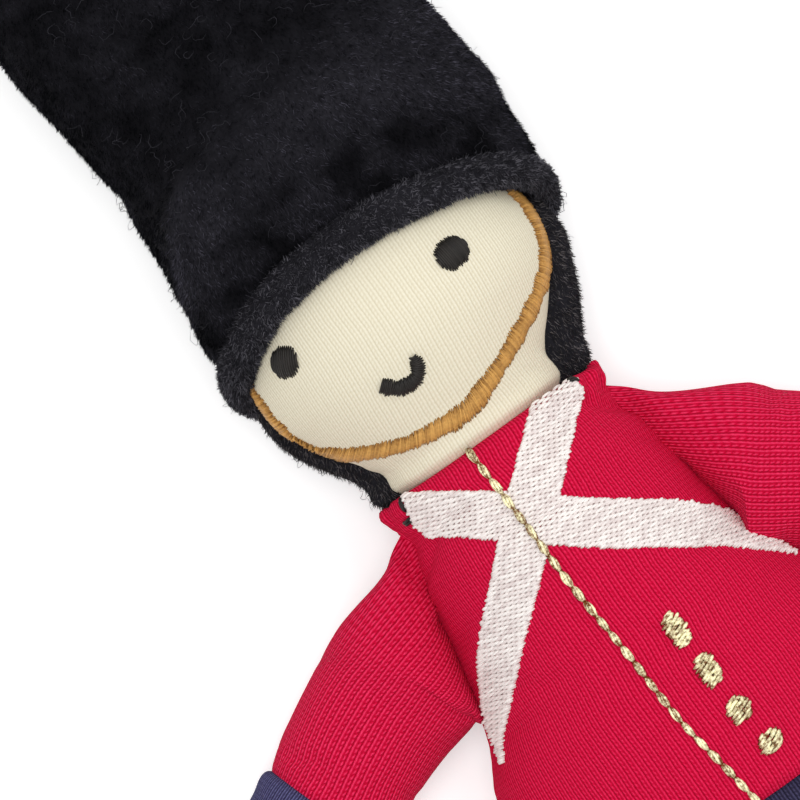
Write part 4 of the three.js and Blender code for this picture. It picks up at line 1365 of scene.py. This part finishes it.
right_threads = satin_oval(-18.5, neck_y + 25.9, 1.85, 2.55, -25)
eye_right = sew_patch("eye_right_threads", right_threads, 0.22, ink_thread)
left_threads = satin_oval(10.9, neck_y + 24.95, 2.4, 2.5, 6)
eye_left = sew_patch("eye_left_threads", left_threads, 0.22, ink_thread)


# %% Smile, chin strap and neck corners
def satin_band(line, pitch, slant, ragged):
    """Threads across a band on the face that follows a line, slanting a little."""
    line = np.array(line)
    away = run_lengths(line[:, :2])
    spots = smooth_through(away, line, np.arange(0, away[-1], pitch))
    stitches = []
    for (x, y, half), way in zip(spots, np.gradient(spots[:, :2], axis=0)):
        way = unit(*way)
        across = unit(-way[1] + way[0] * slant, way[0] + way[1] * slant)
        across = unit(across[0] + jitter(ragged / 2), across[1] + jitter(ragged / 2))
        half *= 1 + 2 * ragged * noise.noise(Vector((x, y, 0)) / 2)
        a, b = half + jitter(ragged), half + jitter(ragged)
        ends = (x - across[0] * a, y - across[1] * a), (x + across[0] * b, y + across[1] * b)
        stitches.append(stitch(on_face, *ends, high=0.5, deep=0.12))
    return stitches


# Across the doll, over the neck seam, and half the width of the band
smile = from_neck([
    (-8.9, 14.8, 1.15), (-8.1, 14.0, 1.3), (-6.6, 12.8, 1.2), (-4.6, 12.6, 1.2),
    (-3.2, 13.4, 1.15), (-2.5, 14.8, 1.05), (-2.5, 15.8, 0.6),
])
strap = from_neck([
    (-24.3, 28, 0.35), (-25.0, 24.5, 0.5), (-25.1, 20.5, 0.65), (-24.6, 16.4, 0.9), (-23.1, 12.9, 1.1),
    (-19.8, 9.9, 1.25), (-15, 7.3, 1.25), (-9.5, 5.4, 1.25), (-1.5, 4.5, 1.8), (4.5, 6.1, 1.4),
    (11.6, 9.2, 1.35), (17.6, 12.4, 1.35), (21.7, 15.8, 1.25), (23.8, 20, 1.0), (24.3, 25, 0.85),
    (23.5, 28, 0.5),
])
corner_ends = (
    ((-16.0, -0.3), (-16.5, -2.4)), ((-16.4, -0.6), (-16.7, -2.8)), ((-18.0, -3.8), (-16.3, -3.7)),
    ((-17.8, -4.2), (-16.4, -4.1)), ((14.0, -0.5), (15.7, -1.1)), ((14.2, -0.8), (15.9, -1.4)),
)
mouth = sew_patch("smile_threads", satin_band(smile, 0.27, 0.1, 0.14), 0.2, ink_thread)
chin_strap = sew_patch("chin_strap_threads", satin_band(strap, 0.2, 0.4, 0.16), 0.17, tan_thread)
corner_stitches = [stitch(on_jacket, *from_neck(ends), high=0.55) for ends in corner_ends]
corner_thread = sew_patch("corner_threads", corner_stitches, 0.27, ink_thread)

# %% [markdown]
# ## Pile
# Plush is thousands of short fibres that lean one way. Hair curves could show them, but they leave no
# mesh behind. So one small spike, a three-sided cone, is scattered over the cloth by Geometry Nodes,
# turned along the nap with some disorder, and made real. Each strand stores a tint for its material:
# a random tone in tufts times the tone stored on the cloth, which on the crown is painted shade and
# highlight. Near the table no strand is placed.

# %% The pile group
bare_below = 1.35
root_depth = 0.1


def make_pile_group():
    """Strands on a surface, turned along the nap, up by Rise and aside by Disorder."""
    tree, given, result = new_group("pile", "GeometryNodeTree", {
        "Geometry": "Geometry", "Strand": "Object", "Density": "Float", "Seed": "Int",
        "Nap": "Vector", "Rise": "Float", "Disorder": "Float"}, {"Geometry": "Geometry"})

    def vector(operation, first, second):
        made = place_node(tree, "ShaderNodeVectorMath", {0: first}, operation=operation)
        feed(tree, made.inputs["Scale" if operation == "SCALE" else 1], second)
        return made.outputs[0]

    def random_value(kind, low, high, seed):
        slot = 0 if kind == "FLOAT_VECTOR" else 2
        own_seed = calc(tree, "ADD", given["Seed"], float(seed))
        made = place_node(tree, "FunctionNodeRandomValue", {
            slot: low, slot + 1: high, "Seed": own_seed}, data_type=kind)
        return made.outputs[slot // 2]

    place = place_node(tree, "GeometryNodeInputPosition").outputs[0]
    height = Value(tree, place_node(tree, "ShaderNodeSeparateXYZ", {0: place}).outputs[2])
    roots = place_node(tree, "GeometryNodeDistributePointsOnFaces", {
        "Mesh": given["Geometry"], "Density": given["Density"], "Seed": given["Seed"]}).outputs
    too_low = height.math("LESS_THAN", bare_below * MM)
    kept = place_node(tree, "GeometryNodeDeleteGeometry", {
        "Geometry": roots["Points"], "Selection": too_low}, domain="POINT")

    tufts = place_node(tree, "ShaderNodeTexNoise", {"Vector": place, "Scale": 0.75 / MM, "Detail": 1.0})
    curl = vector("SUBTRACT", tufts.outputs["Color"], (0.5, 0.5, 0.5))
    aside = random_value("FLOAT_VECTOR", (-1, -1, -1), (1, 1, 1), 11)
    heading = vector("ADD", given["Nap"], vector("SCALE", roots["Normal"], given["Rise"]))
    heading = vector("ADD", heading, vector("SCALE", aside, given["Disorder"]))
    curling = Value(tree, given["Disorder"]) * 6.0
    heading = vector("ADD", heading, vector("SCALE", curl, curling))
    facing = place_node(tree, "FunctionNodeAlignRotationToVector", {"Vector": heading}, axis="Z")

    # The tint is the stored nap value times a random tone of each strand, so it carries the painted shade
    # and highlight stored on the crown
    nap = place_node(tree, "GeometryNodeInputNamedAttribute", {"Name": "nap"}, data_type="FLOAT")
    own_tone = Value(tree, random_value("FLOAT", 0.25, 1.0, 37)).math("POWER", 2.0)
    own_tone = own_tone * stretched(tree, tufts.outputs["Fac"], 0.32, 0.62, 0.35, 1.25)
    tinted = place_node(tree, "GeometryNodeStoreNamedAttribute", {
        "Geometry": kept.outputs[0], "Name": "tint", "Value": Value(tree, nap.outputs[0]) * own_tone},
        data_type="FLOAT", domain="POINT")
    sunk = place_node(tree, "GeometryNodeSetPosition", {
        "Geometry": tinted.outputs[0], "Offset": vector("SCALE", roots["Normal"], -root_depth * MM)})
    strand = place_node(tree, "GeometryNodeObjectInfo", {"Object": given["Strand"]}).outputs["Geometry"]
    strands = place_node(tree, "GeometryNodeInstanceOnPoints", {
        "Points": sunk.outputs[0], "Instance": strand, "Rotation": facing.outputs[0],
        "Scale": random_value("FLOAT", 0.55, 1.2, 23)})
    real = place_node(tree, "GeometryNodeRealizeInstances", {"Geometry": strands.outputs[0]})
    feed(tree, result["Geometry"], real.outputs[0])
    return tree


pile_group = make_pile_group()
print(f"pile group: {len(pile_group.nodes)} nodes")

# %% Raising the pile
quick_share = 1.0


def make_strand(name, length, width):
    """A three-sided cone that stands on the origin."""
    bm = bmesh.new()
    bmesh.ops.create_cone(
        bm, cap_ends=True, segments=3, radius1=width / 2 * MM, radius2=0, depth=length * MM)
    bmesh.ops.translate(bm, verts=bm.verts, vec=(0, 0, length * MM / 2))
    return mesh_object(name, bm)


def raise_pile(name, ground, strand, count_per_mm2, nap, rise, disorder, seed, finish):
    """Strands all over a piece of cloth, as a mesh of their own."""
    base = bpy.data.meshes.new_from_object(ground.evaluated_get(bpy.context.evaluated_depsgraph_get()))
    holder = into_scene(name, base)
    maker = holder.modifiers.new("pile", "NODES")
    maker.node_group = pile_group
    values = {
        "Strand": strand, "Density": count_per_mm2 * quick_share / MM**2, "Seed": seed,
        "Nap": list(nap), "Rise": rise, "Disorder": disorder,
    }
    for item in pile_group.interface.items_tree:
        if item.name in values:
            maker[item.identifier] = values[item.name]
    piece = into_scene(name, baked_mesh(holder, name, finish))
    print(f"{name}: {len(piece.data.polygons)} faces")
    return piece


short_strand = make_strand("short_strand", 0.95, 0.17)
long_strand = make_strand("long_strand", 0.9, 0.2)
# Name, ground, strand, strands per square millimetre, nap, rise, disorder, seed and finish. The pile
# of the crown comes in three layers, so that no mesh gets too large.
*hat_piles, head_pile = [raise_pile(*settings) for settings in (
    *((f"crown_pile_{layer}", crown, short_strand, 3.0, (0.1, -1.0, 0.0), 0.75, 0.55, 4 + layer, hat_plush)
      for layer in (1, 2, 3)),
    ("brim_pile", brim, long_strand, 15.0, (0.0, -0.6, 0.0), 1.0, 0.8, 21, brim_plush),
    ("head_pile", hair, short_strand, 8.0, (0.0, -1.0, 0.0), 0.7, 0.6, 31, hair_plush),
)]
for strand in (short_strand, long_strand):
    bpy.data.objects.remove(strand)

# %% [markdown]
# Some fibres of the plush have worked loose and lie curled on the pile. The spikes of the pile can't
# curl, because they have no points between root and tip. So each loose fibre is a thin thread that
# wanders over the cloth in short steps, at about the height of the pile.

# %% Stray fibres
fibre_steps = 9
fibre_step = 0.38


def extent(piece):
    """Lowest and highest corner of a piece of cloth, in millimetres."""
    places = [vert.co / MM for vert in piece.data.vertices]
    return Vector(map(min, zip(*places))), Vector(map(max, zip(*places)))


def stray_path(under, x, y, turn, bend):
    """One loose fibre, which ends early where there is no cloth under it."""
    path = []
    for at in range(fibre_steps):
        found = under(x, y)
        if found is None:
            break
        place, normal = found
        lift = 0.9 + 0.5 * math.sin(1.3 * at + turn)
        path.append((place + normal * lift, 0.5 + 0.5 * math.sin(math.pi * at / fibre_steps)))
        turn += bend + jitter(0.6)
        x, y = x + fibre_step * math.cos(turn), y + fibre_step * math.sin(turn)
    return path


def stray_fibres(name, ground, count):
    """Loose fibres at random places of a piece."""
    under = surface_of(ground)
    low, high = extent(ground)
    paths = []
    while len(paths) < count:
        x, y = random.uniform(low.x, high.x), random.uniform(low.y, high.y)
        turn, bend = random.uniform(0, 2 * math.pi), jitter(0.5)
        path = stray_path(under, x, y, turn, bend)
        if len(path) > 4:
            paths.append(path)
    return sew_patch(name, paths, 0.04, stray_fibre, sides=0)


hat_fibres = stray_fibres("hat_stray_fibres", crown, 300)
brim_fibres = stray_fibres("brim_stray_fibres", brim, 80)
head_fibres = stray_fibres("head_stray_fibres", hair, 60)

# %% [markdown]
# ## Joining the looks to the frame
# Pieces on the torso and the head follow those bodies of the frame, and cuffs, hands and boots follow
# their limbs. Cloth that is sewn to the torso at a joint would tear off there if it followed one body
# alone. Such cloth, and the face and the back of the head with it, only has its placement baked into
# its mesh, and follows no body.


def sewn_to_torso(piece):
    """Bakes the cloth's placement into its mesh. It follows no body."""
    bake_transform(piece)


for piece in (jacket, trousers, belts, gold_chain, corner_thread, *buttons):
    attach(piece, "torso")
for piece in (crown, brim, eye_right, eye_left, mouth, hat_fibres, brim_fibres, *hat_piles):
    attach(piece, "head")
for piece in (face, hair, chin_strap, head_fibres, head_pile):
    sewn_to_torso(piece)

# %% Limbs
for name, (sleeve, cuff, hand, trouser, boot) in limbs.items():
    axis = Vector(hinge[f"{name}_shoulder"]["axis"])
    sewn_to_torso(sleeve)
    sewn_to_torso(trouser)
    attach(cuff, f"{name}_arm")
    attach(hand, f"{name}_arm")
    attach(boot, f"{name}_leg")
    for piece, slot_name, nodes in (
        (sleeve, "red_jersey", (f"{name}_sleeve", f"{name}_arm_filling")),
        (cuff, "navy_cuff", (f"{name}_cuff",)),
        (hand, "cream_jersey", (f"{name}_hand",)),
        (trouser, "navy_jersey", (f"{name}_trouser_leg", f"{name}_leg_filling")),
        (boot, "black_felt", (f"{name}_boot",)),
    ):
        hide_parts(*nodes)

# %% Replaced solids
for piece, slot_name, nodes in (
    (jacket, "red_jersey", ("jacket_front", "jacket_back", "body_filling")),
    (trousers, "navy_jersey", ("trousers_front", "trousers_back")),
    (face, "cream_jersey", ("head_face", "head_filling")),
    (hair, "black_plush", ("head_back",)),
    (crown, "black_plush", ("hat_crown", "hat_filling")),
    (brim, "black_plush", ("hat_brim",)),
    (belts, "white_thread", ("cross_belt_right", "cross_belt_left_upper", "cross_belt_left_lower")),
    (gold_chain, "gold_thread", ("gold_placket",)),
    (eye_right, "black_thread", ("eye_right",)),
    (eye_left, "black_thread", ("eye_left",)),
    (mouth, "black_thread", ("mouth",)),
    (chin_strap, "tan_thread", ("chin_strap",)),
    (corner_thread, "black_thread", ("corner_stitch_right", "corner_stitch_left")),
    *((button, "gold_thread", (f"button_{number + 1}",)) for number, button in enumerate(buttons)),
):
    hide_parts(*nodes)

# %% [markdown]
# ## Studio
# The photograph is taken from straight above with a long lens, on pure white, in light that comes
# from all sides. Stronger lamps would turn the floor white too, but they would bleach the red cloth.
# So the floor glows a little towards the camera, and it keeps the doll's soft shadow.

# %% Floor
floor_glow = 0.42


def seen_directly(tree):
    """1 for what the camera sees itself, in a mirror or through glass, and 0 for other light."""
    rays = place_node(tree, "ShaderNodeLightPath").outputs
    mirrored = calc(tree, "MAXIMUM", rays["Is Glossy Ray"], rays["Is Transmission Ray"])
    return calc(tree, "MAXIMUM", rays["Is Camera Ray"], mirrored)


bm = bmesh.new()
bmesh.ops.create_grid(bm, x_segments=1, y_segments=1, size=3)
floor = mesh_object("floor", bm)
floor_paint, tree = new_material("studio floor")
floor.data.materials.append(finished(floor_paint, {
    "Base Color": (0.8, 0.8, 0.8, 1), "Roughness": 1.0, "Specular IOR Level": 0.0,
    "Emission Color": (1, 1, 1, 1), "Emission Strength": seen_directly(tree) * floor_glow}))

# %% Lamps
# White to the camera, and a little dimmer as a light on the doll
sky_strength = 0.73
world = bpy.data.worlds.new("studio")
scene.world = world
world.use_nodes = True
tree = world.node_tree
background = tree.nodes["Background"].inputs
feed(tree, background["Strength"], seen_directly(tree) * (1 - sky_strength) + sky_strength)
background["Color"].default_value = (1, 1, 1, 1)


def lamp(name, place, size, power):
    """A round soft lamp that is turned to the doll's neck."""
    data = bpy.data.lights.new(name, "AREA")
    data.shape = "DISK"
    data.size = size
    data.energy = power
    made = into_scene(name, data)
    made.location = place
    made.rotation_euler = (Vector((0, 0.03, 0)) - Vector(place)).to_track_quat("-Z", "Y").to_euler()


lamp("key", (0.75, 0.35, 0.95), 0.6, 2.8)
lamp("overhead", (-0.1, 0.1, 1.15), 0.7, 4.6)

# %% Camera
frame_width = 120.0
view_centre = Vector((-7.8, 45.55, 0))
turn_of_photo = math.radians(-35)
camera_height = 1200.0
# The picture is this wide at the height of the doll's middle, which the lens is set for
mid_depth = 16
sensor = 36
camera_data = bpy.data.cameras.new("camera")
camera_data.sensor_width = sensor
camera_data.lens = sensor * (camera_height - mid_depth) / frame_width
camera_data.clip_start, camera_data.clip_end = 0.05, 10
camera = into_scene("camera", camera_data)
camera.location = (view_centre + Vector((0, 0, camera_height))) * MM
camera.rotation_euler = (0, 0, turn_of_photo)
scene.camera = camera
scene.view_settings.view_transform = "Standard"
print(f"lens {camera_data.lens:.0f} mm, {frame_width:.0f} mm of the doll across the picture")

# %% Updating the scene
bpy.context.view_layer.update()
